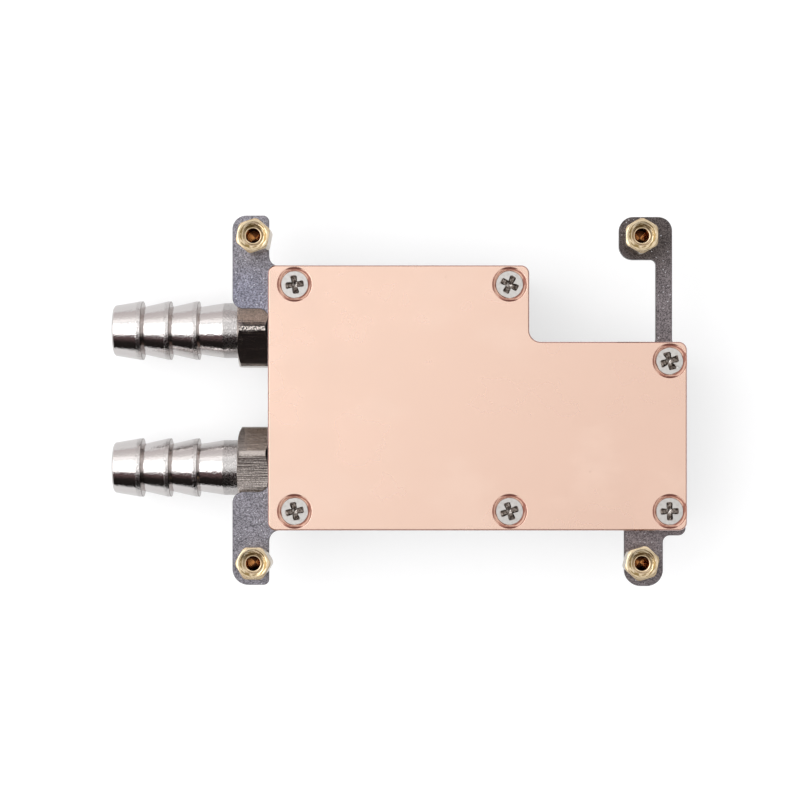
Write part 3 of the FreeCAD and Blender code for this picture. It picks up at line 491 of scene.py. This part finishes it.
def makeNickel():
    finish, tree, shader, place = newFinish("brightNickel", metallic=1.0)
    across, along, up = splitPlace(tree, place)
    sideways = calc(tree, "ABSOLUTE", calc(tree, "SUBTRACT", along, tails["axisMiddle"]))
    sideways = calc(tree, "SUBTRACT", sideways, tails["halfSpacing"])
    upright = calc(tree, "SUBTRACT", up, tails["axisHeight"])
    section = addNode(tree, "CombineXYZ", {0: sideways, 1: upright}).outputs[0]
    radius = addNode(tree, "VectorMath", {0: section}, operation="LENGTH").outputs["Value"]
    hexMask = band(tree, across, *tails["hexEnds"], tails["hexSoftness"])
    corner = fade(tree, radius, *tails["cornerEnds"])
    root = band(tree, across, *tails["rootEnds"], tails["bandSoftness"])
    coarse = calc(tree, "MAXIMUM", root, calc(tree, "MULTIPLY", hexMask, corner))
    for ridge in tails["ridges"]:
        rough = band(tree, across, ridge - tails["roughBand"], ridge, tails["bandSoftness"])
        coarse = calc(tree, "MAXIMUM", coarse, rough)
    colour = blendColours(tree, hexMask, tails["colour"], tails["hexColour"])
    colour = shaded(tree, colour, fade(tree, root, 0, 1, 1, tails["rootShade"]))
    facing = splitPlace(tree, addNode(tree, "NewGeometry").outputs["Normal"])[0]
    colour = blendColours(tree, fade(tree, facing, *tails["stepTilt"]), colour, tails["stepColour"])
    outer = fade(tree, radius, *tails["lineStart"])
    outwards, inwards = tails["lineReach"]
    for ridge in tails["ridges"]:
        line = band(tree, across, ridge - outwards, ridge + inwards, tails["lineSoftness"])
        colour = blendColours(tree, calc(tree, "MULTIPLY", line, outer), colour, tails["lineColour"])
    grainy = noise(tree, place, tails["pitsPerMetre"], 1)
    # grain, with painted shade on the lower nut and painted light on the upper one
    nutGrainAndShade = calc(tree, "MULTIPLY", fade(tree, grainy, *clearNoise, *tails["grainShades"]),
                   fade(tree, along, *tails["betweenNuts"], *tails["nutLightAndShade"]))
    colour = shaded(tree, colour, fade(tree, hexMask, 0, 1, 1, nutGrainAndShade))
    # pits: deep in the upper nut's turned corners, shallow in the lower nut's and in the coarse bands
    pits = fade(tree, grainy, *tails["pitRange"])
    corners = calc(tree, "MULTIPLY", calc(tree, "MULTIPLY", hexMask, corner),
                   fade(tree, along, *tails["betweenNuts"], *tails["pitStrengths"]))
    shallow = calc(tree, "MULTIPLY", calc(tree, "SUBTRACT", coarse, hexMask), tails["bandPitStrength"])
    pitted = calc(tree, "MULTIPLY", pits, calc(tree, "MAXIMUM", corners, shallow))
    colour = blendColours(tree, pitted, colour, tails["pitColour"])
    tree.links.new(colour, shader.inputs["Base Color"])
    fine = centred(tree, noise(tree, stretched(tree, place, tails["fineMarks"]), 1, 2))
    marks = centred(tree, noise(tree, stretched(tree, place, tails["coarseMarks"]), 1, 1))
    streaks = noise(tree, stretched(tree, place, tails["streaksPerMetre"]), 1, 3)
    hexRoughness = fade(tree, streaks, *tails["streakRange"], *tails["hexRoughness"])
    worn = calc(tree, "MULTIPLY", coarse, pits)
    roundRoughness = fade(tree, worn, 0, 1, tails["roughness"], tails["coarseRoughness"])
    tree.links.new(fade(tree, hexMask, 0, 1, roundRoughness, hexRoughness), shader.inputs["Roughness"])
    turned = calc(tree, "SUBTRACT", 1.0, hexMask)
    hollow = calc(tree, "POWER", calc(tree, "SUBTRACT", sideways, tails["flatMiddle"]), 2.0)
    below = setBump(tree, shader, calc(tree, "MULTIPLY", fine, turned), tails["fineDepth"])
    marks = calc(tree, "MULTIPLY", marks, fade(tree, root, 0, 1, 1, tails["rootMarks"]))
    below = setBump(tree, shader, calc(tree, "MULTIPLY", marks, coarse), tails["coarseDepth"], below)
    flats = calc(tree, "MULTIPLY", hexMask, calc(tree, "SUBTRACT", 1.0, corner))
    combed = calc(tree, "MULTIPLY", centred(tree, streaks), flats)
    below = setBump(tree, shader, combed, tails["streakDepth"], below)
    setBump(tree, shader, calc(tree, "MULTIPLY", hollow, flats), tails["flatHollow"], below)
    return finish


dress(makeNickel(), "inlet_fitting", "outlet_fitting")
print("hose tails: done")


# brass bushes and tapped brass standoffs

brass = {
    "colour": (0.82, 0.665, 0.46),
    "cloudsPerMetre": 900,
    "cloudShades": (0.84, 1.06),
    "faceShade": 0.84,                  # the face and the flanks are duller than the freshly cut mouth
    "faceStart": (0.00178, 0.00186),    # the radius where the face takes over from the inner mouth
    "mouthRadii": (0.00145, 0.00236),
    "mouthSoftness": 0.00005,
    "roughness": 0.16,
    "mouthRoughness": 0.27,
    "roughnessEnds": (0.00185, 0.00175),
    # turning marks about the axis
    "arcColour": (0.31, 0.205, 0.075),
    "arcStrengths": (0.35, 0.5, 0.95),  # outside the mouth, and in its inner and its outer part
    "arcsPerMetre": 6000,
    "arcTurns": 1.6,
    "arcDepth": 0.000022,
    "gritPerMetre": 5200,
    "gritDepth": 0.000003,
    # painted shade: the mouth's darker upper flank
    "crescentShadeColour": (0.14, 0.085, 0.028),
    "crescentRadii": (0.00144, 0.0019),
    "crescentSoftness": 0.00008,
    "crescentNorth": (0.2, 0.85),
    "crescentRange": (0.35, 0.55),
    "crescentStrengths": (0.55, 1.0),
    # the bore, seen from the face down, its bottom in painted shade
    "boreRadius": 0.00125,
    "boreMargins": (0.00030, 0.00022),
    "deepHeights": (0.0054, 0.0051),
    "boreShadeColour": (0.58, 0.25, 0.078),
    "shadeColour": (0.13, 0.045, 0.015),
    "shadeSoftness": 0.12,
}
standoff = {
    "turns": (19.0, 30.0, 0.0, 17.3),
    "height": 6.0 * mm,
    "chamferSlope": 30,
    "chamferStep": 0.05 * mm,
    "flatRadius": 2.75 * mm,
    "cornerRadius": 3.025 * mm,
    "faceRadius": 2.65 * mm,
    "shankRadius": 2.0 * mm,
    "flareRadius": 2.45 * mm,
    "sheet": 1.5 * mm,
    "flareHeight": 0.4 * mm,
    # the mouth from the face down: radius and depth
    "mouth": [(2.40, 0.0), (2.36, 0.014), (1.84, 0.045), (1.79, 0.07), (1.47, 0.41), (1.43, 0.44),
              (1.29, 0.48)],
    "boreFloor": 4.6 * mm,
    "drillPoint": 0.75 * mm,
    "threadStart": 0.53 * mm,
    "threadRunIn": 0.15 * mm,
    "threadPitch": 0.5 * mm,
    "threadReach": 0.22 * mm,
    "threadStep": 0.035 * mm,
    "segments": 120,
}


def makeBrass():
    finish, tree, shader, place = newFinish("turnedBrass", metallic=1.0)
    # a standoff's own coordinates: its axis is Z and its foot is at height 0
    across, along, up = splitPlace(tree, place)
    flat = addNode(tree, "CombineXYZ", {0: across, 1: along}).outputs[0]
    fromAxis = addNode(tree, "VectorMath", {0: flat}, operation="LENGTH").outputs["Value"]
    outer, inner = brass["boreMargins"]
    inBore = fade(tree, fromAxis, brass["boreRadius"] + outer, brass["boreRadius"] + inner)
    deep = calc(tree, "MULTIPLY", inBore, fade(tree, up, *brass["deepHeights"]))
    # turning marks: arcs about the axis that come and go
    direction = addNode(tree, "VectorMath", {0: flat}, operation="NORMALIZE").outputs[0]
    east, north = splitPlace(tree, direction)[:2]
    inputs = {0: calc(tree, "MULTIPLY", fromAxis, brass["arcsPerMetre"]),
              1: calc(tree, "MULTIPLY", east, brass["arcTurns"]),
              2: calc(tree, "MULTIPLY", north, brass["arcTurns"])}
    arcs = noise(tree, addNode(tree, "CombineXYZ", inputs).outputs[0], 1, 2)
    clouds = noise(tree, place, brass["cloudsPerMetre"], 3)
    cloud = fade(tree, clouds, *softNoise, *brass["cloudShades"])
    # painted shade: the drilled bottom is darker, and two of its flanks darker still
    quarter = calc(tree, "SUBTRACT", calc(tree, "ABSOLUTE", east), calc(tree, "ABSOLUTE", north))
    flank = fade(tree, quarter, -brass["shadeSoftness"], brass["shadeSoftness"])
    bottom = blendColours(tree, flank, brass["shadeColour"], brass["boreShadeColour"])
    inMouth = band(tree, fromAxis, *brass["mouthRadii"], brass["mouthSoftness"])
    outside, *inside = brass["arcStrengths"]
    strength = fade(tree, inMouth, 0, 1, outside, fade(tree, fromAxis, *brass["faceStart"], *inside))
    streak = fade(tree, arcs, *crispNoise, 0, strength)
    colour = blendColours(tree, streak, brass["colour"], brass["arcColour"])
    # painted shade on the mouth's upper flank
    shadeCrescent = band(tree, fromAxis, *brass["crescentRadii"], brass["crescentSoftness"])
    shadeCrescent = calc(tree, "MULTIPLY", shadeCrescent, fade(tree, north, *brass["crescentNorth"]))
    broken = fade(tree, arcs, *brass["crescentRange"], *brass["crescentStrengths"])
    shadeCrescent = calc(tree, "MULTIPLY", shadeCrescent, broken)
    colour = blendColours(tree, shadeCrescent, colour, brass["crescentShadeColour"])
    # painted shade in the bore's bottom
    colour = blendColours(tree, deep, colour, bottom)
    colour = shaded(tree, colour, fade(tree, fromAxis, *brass["faceStart"], 1, brass["faceShade"]))
    tree.links.new(shaded(tree, colour, cloud), shader.inputs["Base Color"])
    satin = fade(tree, fromAxis, *brass["roughnessEnds"], brass["roughness"], brass["mouthRoughness"])
    tree.links.new(satin, shader.inputs["Roughness"])
    below = setBump(tree, shader, arcs, brass["arcDepth"])
    setBump(tree, shader, noise(tree, place, brass["gritPerMetre"], 2), brass["gritDepth"], below)
    return finish


def makeStandoff(name, turn, finish):
    given = standoff
    count = given["segments"]
    start = math.radians(turn)
    angles = [start + math.tau * index / count for index in range(count)]
    side = math.tau / 6
    reach = []
    for angle in angles:
        fromFlat = (angle - start) % side - side / 2
        reach.append(min(given["flatRadius"] / math.cos(fromFlat), given["cornerRadius"]))
    height = given["height"]
    slope = math.tan(math.radians(given["chamferSlope"]))

    def hexRing(drop):
        heights = [height - (far - given["faceRadius"]) * slope - drop for far in reach]
        return [(far * math.cos(angle), far * math.sin(angle), up)
                for far, angle, up in zip(reach, angles, heights)]

    foot = [(far * math.cos(angle), far * math.sin(angle), 0) for far, angle in zip(reach, angles)]
    rings = [
        ringAt(given["shankRadius"], -given["sheet"] - given["flareHeight"], angles),
        ringAt(given["flareRadius"], -given["sheet"], angles),
        ringAt(given["shankRadius"], -given["sheet"], angles),
        ringAt(given["shankRadius"], 0, angles),
        foot,
        hexRing(given["chamferStep"]),
        hexRing(0),
        ringAt(given["faceRadius"], height, angles),
    ]
    for radius, depth in given["mouth"]:
        rings.append(ringAt(radius * mm, height - depth * mm, angles))
    rings += threadRings(given, angles, height)
    floor = height - given["boreFloor"]
    rings.append(ringAt(brass["boreRadius"], floor, angles))
    startPoint = (0, 0, -given["sheet"] - given["flareHeight"])
    endPoint = (0, 0, floor - given["drillPoint"])
    piece = ringsToPiece("tapped" + name.capitalize(), rings, startPoint, endPoint, finish)
    piece.location = topCentre(name) - Vector((0, 0, height))
    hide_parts(name)
    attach(piece, "root")
    return piece


def threadRings(given, angles, height):
    # the tapped bore, whose groove deepens over its run-in below the land
    rings = []
    depth = given["threadStart"]
    while depth < given["boreFloor"] - given["threadStep"]:
        growth = min(1.0, (depth - given["threadStart"]) / given["threadRunIn"])
        rings.append([])
        for angle in angles:
            groove = threadDepth(-depth, angle, given["threadPitch"]) * growth * given["threadReach"]
            radius = brass["boreRadius"] + groove
            rings[-1].append((radius * math.cos(angle), radius * math.sin(angle), height - depth))
        depth += given["threadStep"]
    return rings


brassFinish = makeBrass()
dress(brassFinish, *numbered("insert", 6))
tappedStandoffs = [makeStandoff(name, turn, brassFinish)
                   for name, turn in zip(numbered("standoff", 4), standoff["turns"])]
print("standoffs and bushes: done")


# cross recess screws

screws = {
    "colour": (0.585, 0.565, 0.545),
    "grimeColour": (0.42, 0.40, 0.375),
    "grimePerMetre": 1500,
    "grimeRange": (0.40, 0.75),
    "grimeStrength": 0.55,
    "wornEdges": (0.00007, 0.03, 0.3),    # width, and between which bends an edge turns bright
    # painted shade: the recess darker, in blotches
    "recessColour": (0.58, 0.54, 0.51),
    "recessShade": (0.15, 0.12, 0.105),
    "recessHeights": (-0.00004, -0.00018),
    "shadeBlotchesPerMetre": 2300,
    "roughness": 0.34,
    "recessRoughness": 0.22,
    "dentsPerMetre": 2600,
    "dentDepth": 0.000005,
    "turns": (6.0, 61.0, 13.0, 9.0, 16.0, 1.0),
    "headRadius": 2.35 * mm,
    "headRing": 0.80,           # a ring of the head's face, as a share of its radius
    "brokenEdge": 0.05 * mm,
    "rim": 0.15 * mm,
    "shankRadius": 1.25 * mm,
    "length": 8.0 * mm,
    "tipChamfer": 0.3 * mm,
    "tipThread": 0.5,           # how much of the groove is left at the tip
    "threadPitch": 0.45 * mm,
    "threadReach": 0.22 * mm,
    "threadStep": 0.075 * mm,
    "threadEnd": 0.4 * mm,      # how far below the head's cone the thread ends
    "neckStart": 0.3 * mm,
    # the recess from the face down: depth, arm reach, arm half width, corner radius
    "recess": [(0.0, 1.60, 0.485, 0.30), (0.05, 1.55, 0.450, 0.28), (0.30, 1.38, 0.415, 0.24),
               (0.65, 1.06, 0.375, 0.18), (1.0, 0.75, 0.335, 0.10), (1.25, 0.51, 0.29, 0.05)],
    "recessPoint": 1.42 * mm,
    "armSwell": 1.10,           # how much wider an arm is at its end
    "sidePoints": 5,
    "cornerPoints": 4,
    "leastStep": 0.004,
    # how far a slipping driver tore each recess, in millimetres where not a share
    "worn": (0.25, 0.35, 1.0, 0.4, 0.3, 0.1),
    "tear": 0.30,
    "tearStart": 0.35,
    "tearDepth": 0.8,
    "calmFlank": 0.15,          # the share of the tear on each arm's other flank
    "tearByArm": (0.7, 0.3),    # the first arm's share, and what each next arm adds
    "burr": 0.02,
}


def crossOutline(reach, half, corner, torn, chance):
    # one turn of the cross, anticlockwise from the inner corner below its right arm, in millimetres
    given = screws
    swell = given["armSwell"]
    arm = [(half, -half)]
    for step in range(1, given["sidePoints"]):
        along = step / given["sidePoints"]
        arm.append((half + (reach - corner - half) * along, -half * (1 + (swell - 1) * along)))
    for step in range(given["cornerPoints"] + 1):
        angle = math.radians(-90 + 90 * step / given["cornerPoints"])
        arm.append((reach - corner + corner * math.cos(angle),
                    -half * swell + corner + corner * math.sin(angle)))
    arm += [(across, -along) for across, along in reversed(arm[1:])]
    firstTear, addedTear = given["tearByArm"]
    outline = []
    for quarter, (cosine, sine) in enumerate(((1, 0), (0, 1), (-1, 0), (0, -1))):
        for across, along in arm:
            # the driver tears one flank of each arm more than the other
            flank = 1 if along > 0 else given["calmFlank"]
            push = torn * given["tear"] * max(0.0, across - given["tearStart"]) * flank
            push *= firstTear + addedTear * quarter
            burr = chance.uniform(-1, 1) * given["burr"] * (1 + torn)
            far = along + push + burr
            outline.append(((across * cosine - far * sine) * mm, (across * sine + far * cosine) * mm))
    return outline


def makeScrewSteel():
    finish, tree, shader, place = newFinish("screwSteel", metallic=1.0)
    up = splitPlace(tree, place)[2]
    grime = noise(tree, place, screws["grimePerMetre"], 4)
    grime = fade(tree, grime, *screws["grimeRange"], 0.0, screws["grimeStrength"])
    colour = blendColours(tree, grime, screws["colour"], screws["grimeColour"])
    # object coordinates: the head's top lies at height 0
    inside = fade(tree, up, *screws["recessHeights"])
    # painted shade: the recess darker, in blotches
    shadeBlotch = fade(tree, noise(tree, place, screws["shadeBlotchesPerMetre"], 2, 0.6), *crispNoise)
    recess = blendColours(tree, shadeBlotch, screws["recessColour"], screws["recessShade"])
    colour = blendColours(tree, inside, colour, recess)
    colour = blendColours(tree, edgeMask(tree, *screws["wornEdges"]), colour, screws["colour"])
    tree.links.new(colour, shader.inputs["Base Color"])
    satin = fade(tree, inside, 0, 1, screws["roughness"], screws["recessRoughness"])
    tree.links.new(satin, shader.inputs["Roughness"])
    setBump(tree, shader, noise(tree, place, screws["dentsPerMetre"], 3), screws["dentDepth"])
    return finish


def makeScrew(name, turn, torn, finish):
    given = screws
    levels = []
    for depth, reach, half, corner in given["recess"]:
        fadeOut = max(0.0, 1 - depth / given["tearDepth"])
        outline = crossOutline(reach, half, corner, torn * fadeOut, random.Random(name))
        levels.append([(across, along, -depth * mm) for across, along in outline])
    angles = []
    for across, along, _ in levels[0]:
        # each one a little beyond the last, so that the head's face never folds
        angle = math.atan2(along, across)
        while angles and angle < angles[-1] - math.pi:
            angle += math.tau
        angles.append(max(angle, angles[-1] + given["leastStep"]) if angles else angle)
    head = given["headRadius"]
    shank = given["shankRadius"]
    neck = -given["rim"] - (head - shank)
    tip = -given["length"]
    rings = [
        ringAt(shank - given["tipChamfer"], tip, angles),
        ringAt(shank - given["threadReach"] * given["tipThread"], tip + given["tipChamfer"], angles),
    ]
    height = tip + given["tipChamfer"] + given["threadStep"]
    while height < neck - given["threadEnd"]:
        rings.append([])
        for angle in angles:
            radius = shank - threadDepth(height, angle, given["threadPitch"]) * given["threadReach"]
            rings[-1].append((radius * math.cos(angle), radius * math.sin(angle), height))
        height += given["threadStep"]
    rings += [
        ringAt(shank, neck - given["neckStart"], angles),
        ringAt(shank, neck, angles),
        ringAt(head, -given["rim"], angles),
        ringAt(head, -given["brokenEdge"], angles),
        ringAt(head - given["brokenEdge"], 0, angles),
        ringAt(head * given["headRing"], 0, angles),
    ]
    rings += levels
    endPoint = (0, 0, -given["recessPoint"])
    piece = ringsToPiece("crossRecess" + name.capitalize(), rings, (0, 0, tip), endPoint, finish)
    piece.location = topCentre(name)
    piece.rotation_euler.z = math.radians(turn)
    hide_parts(name)
    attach(piece, "root")


screwFinish = makeScrewSteel()
for name, turn, torn in zip(numbered("screw", 6), screws["turns"], screws["worn"]):
    makeScrew(name, turn, torn, screwFinish)
print("screws: done")


# moulded housing and rubber seals

housing = {
    "colour": (0.022, 0.022, 0.024),
    "paleColour": (0.03, 0.03, 0.032),
    "roughness": (0.36, 0.50),
    "cloudsPerMetre": 300,
    "texturePerMetre": 2600,
    "textureDepth": 0.000008,
}
rubber = {
    "colour": (0.016, 0.016, 0.017),
    "paleColour": (0.03, 0.03, 0.03),
    "roughness": 0.62,
    "texturePerMetre": 2400,
    "textureDepth": 0.000006,
}


def makeHousing():
    finish, tree, shader, place = newFinish("blackHousing")
    cloud = noise(tree, place, housing["cloudsPerMetre"], 4)
    colour = blendColours(tree, fade(tree, cloud, *softNoise), housing["colour"], housing["paleColour"])
    tree.links.new(colour, shader.inputs["Base Color"])
    satin = fade(tree, cloud, *softNoise, *housing["roughness"])
    tree.links.new(satin, shader.inputs["Roughness"])
    setBump(tree, shader, noise(tree, place, housing["texturePerMetre"], 2), housing["textureDepth"])
    return finish


def makeRubber():
    finish, tree, shader, place = newFinish("sealRubber")
    texture = noise(tree, place, rubber["texturePerMetre"], 3)
    colour = blendColours(tree, texture, rubber["colour"], rubber["paleColour"])
    tree.links.new(colour, shader.inputs["Base Color"])
    shader.inputs["Roughness"].default_value = rubber["roughness"]
    setBump(tree, shader, texture, rubber["textureDepth"])
    return finish


dress(makeHousing(), "body")
dress(makeRubber(), "face_seal", "inlet_seal", "outlet_seal")
print("housing and seals: done")


# floor, cards, lamps and camera

studio = {
    "floorColour": (0.45, 0.45, 0.455),
    "floorGlow": 0.61,
    "floorGlowInMetal": 0.42,
    "floorReach": 3.0,
    "skyWhite": 1.0,
    "skyFill": 0.80,
}
# each card's tones go by height, as a share of its own height
cards = {
    # its left end sets how the hose tails shade, and there it turns maroon
    "darkCard": {
        "place": (0.09, -1.0, 0), "width": 3.02, "height": 3.9, "turn": 0,
        "tones": [(0.0, (0.012, 0.011, 0.010)), (0.21, (0.014, 0.012, 0.012)),
                  (1.0, (0.016, 0.014, 0.013))],
        "leftTones": [(0.0, (0.016, 0.014, 0.013)), (0.195, (0.020, 0.016, 0.015)),
                      (0.33, (0.13, 0.085, 0.087)), (1.0, (0.20, 0.135, 0.14))],
        "leftFade": (-0.25, -0.6),
    },
    # only the copper and the standoffs mirror this one
    "warmCard": {
        "place": (0, -0.97, 0), "width": 3.2, "height": 2.0, "turn": 0,
        "tones": [(0.0, (0.50, 0.48, 0.47)), (0.4, (0.72, 0.70, 0.69)), (1.0, (1.0, 1.0, 1.0))],
        "onlyFor": [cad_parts["base_plate"], *tappedStandoffs],
    },
    "paleCard": {
        "place": (0, 1.0, 0), "width": 3.2, "height": 1.4, "turn": 0,
        "tones": [(0.0, (0.69, 0.65, 0.65)), (0.21, (0.76, 0.71, 0.71)), (0.36, (0.84, 0.80, 0.79)),
                  (0.53, (0.96, 0.92, 0.91)), (0.75, (1.08, 1.05, 1.04)), (1.0, (1.17, 1.17, 1.17))],
    },
    "rightCard": {
        "place": (1.6, 0, 0), "width": 2.0, "height": 1.6, "turn": 90,
        "tones": [(0.0, (0.55, 0.52, 0.50)), (0.5, (0.62, 0.60, 0.58)), (1.0, (0.75, 0.73, 0.71))],
    },
    "leftCard": {
        "place": (-1.25, 0, 0), "width": 2.0, "height": 0.9, "turn": 90,
        "tones": [(0.0, (0.30, 0.28, 0.27)), (1.0, (0.70, 0.68, 0.66))],
    },
}
lamps = {
    "topPanel": {"place": (0.0, 0.2, 0.8), "size": (1.5, 1.2), "radiance": 0.35, "onMetal": True},
    "keySoftbox": {"place": (-0.62, 0.075, 0.8), "size": (0.75, 0.75), "radiance": 1.6, "onMetal": True},
    "leftBank": {"place": (-0.42, -0.22, 0.85), "size": (0.7, 0.9), "radiance": 1.0, "onMetal": False},
}
shot = {
    "place": (0.0, -0.0081, 0.4115),
    "lens": 101.79,
    "sensor": 36,
    "shift": (-0.0594, 0.0584),
    "nearest": 0.01,
}


def glowByRay(tree, toCamera, toMetal, otherwise):
    # the camera sees one strength, gloss and glass see another, and the rest of the light uses the last
    rays = addNode(tree, "LightPath").outputs
    mirrored = calc(tree, "MAXIMUM", rays["Is Glossy Ray"], rays["Is Transmission Ray"])
    strength = fade(tree, mirrored, 0, 1, otherwise, toMetal)
    return fade(tree, rays["Is Camera Ray"], 0, 1, strength, toCamera)


def makeFloor():
    mesh = bpy.data.meshes.new("floor")
    reach = studio["floorReach"]
    corners = [(-reach, -reach, 0), (reach, -reach, 0), (reach, reach, 0), (-reach, reach, 0)]
    mesh.from_pydata(corners, [], [(0, 1, 2, 3)])
    floor = bpy.data.objects.new("floor", mesh)
    bpy.context.collection.objects.link(floor)
    finish = bpy.data.materials.new("paleFloor")
    finish.use_nodes = True
    tree = finish.node_tree
    tree.nodes.clear()
    matt = addNode(tree, "BsdfDiffuse", {"Color": (*studio["floorColour"], 1)})
    strength = glowByRay(tree, studio["floorGlow"], studio["floorGlowInMetal"], 0.0)
    glow = addNode(tree, "Emission", {"Strength": strength})
    both = addNode(tree, "AddShader", {0: matt.outputs[0], 1: glow.outputs[0]})
    addNode(tree, "OutputMaterial", {"Surface": both.outputs[0]})
    mesh.materials.append(finish)


def toneRamp(tree, tones, level):
    ramp = addNode(tree, "ValToRGB", {"Fac": level})
    steps = ramp.color_ramp.elements
    steps[0].position, steps[1].position = tones[0][0], tones[-1][0]
    for position, _ in tones[1:-1]:
        steps.new(position)
    for step, (_, colour) in zip(steps, tones):
        step.color = (*colour, 1)
    return ramp.outputs["Color"]


def makeCard(name, place, width, height, turn, tones, leftTones=None, leftFade=None, onlyFor=None):
    # an upright studio card that only metal sees; one that is only for some of the pieces is clear to
    # all the rest
    mesh = bpy.data.meshes.new(name)
    half = width / 2
    corners = [(-half, 0, 0), (half, 0, 0), (half, 0, height), (-half, 0, height)]
    mesh.from_pydata(corners, [], [(0, 1, 2, 3)])
    card = bpy.data.objects.new(name, mesh)
    card.location = place
    card.rotation_euler.z = math.radians(turn)
    bpy.context.collection.objects.link(card)
    finish = bpy.data.materials.new(name)
    finish.use_nodes = True
    tree = finish.node_tree
    tree.nodes.clear()
    across, _, up = splitPlace(tree, addNode(tree, "TexCoord").outputs["Object"])
    level = calc(tree, "DIVIDE", up, height)
    colour = toneRamp(tree, tones, level)
    if leftTones:
        colour = blendColours(tree, fade(tree, across, *leftFade), colour, toneRamp(tree, leftTones, level))
    surface = addNode(tree, "Emission", {"Color": colour}).outputs[0]
    if onlyFor:
        clear = addNode(tree, "BsdfTransparent").outputs[0]
        surface = addNode(tree, "AddShader", {0: surface, 1: clear}).outputs[0]
        lit = bpy.data.collections.new(name + "Lights")
        for piece in onlyFor:
            lit.objects.link(piece)
        card.light_linking.receiver_collection = lit
    addNode(tree, "OutputMaterial", {"Surface": surface})
    mesh.materials.append(finish)
    for rays in ("camera", "diffuse", "transmission", "shadow", "volume_scatter"):
        setattr(card, "visible_" + rays, False)


def makeSky():
    world = bpy.data.worlds.new("studio")
    world.use_nodes = True
    tree = world.node_tree
    tree.nodes.clear()
    strength = glowByRay(tree, studio["skyWhite"], studio["skyWhite"], studio["skyFill"])
    sky = addNode(tree, "Background", {"Strength": strength})
    addNode(tree, "OutputWorld", {"Surface": sky.outputs[0]})
    bpy.context.scene.world = world


def makeLamp(name):
    wanted = lamps[name]
    light = bpy.data.lights.new(name, "AREA")
    light.shape = "RECTANGLE"
    light.size, light.size_y = wanted["size"]
    light.energy = wanted["radiance"] * math.pi * light.size * light.size_y
    lamp = bpy.data.objects.new(name, light)
    lamp.location = wanted["place"]
    lamp.rotation_euler = (-lamp.location).to_track_quat("-Z", "Y").to_euler()
    lamp.visible_glossy = wanted["onMetal"]
    bpy.context.collection.objects.link(lamp)


def makeCamera():
    lens = bpy.data.cameras.new("camera")
    lens.lens = shot["lens"]
    lens.sensor_width = shot["sensor"]
    lens.shift_x, lens.shift_y = shot["shift"]
    lens.clip_start = shot["nearest"]
    camera = bpy.data.objects.new("camera", lens)
    camera.location = shot["place"]
    bpy.context.collection.objects.link(camera)
    bpy.context.scene.camera = camera


makeFloor()
for cardName, wanted in cards.items():
    makeCard(cardName, **wanted)
makeSky()
for lampName in lamps:
    makeLamp(lampName)
makeCamera()
bpy.context.scene.view_settings.view_transform = "Standard"
print("studio: done")
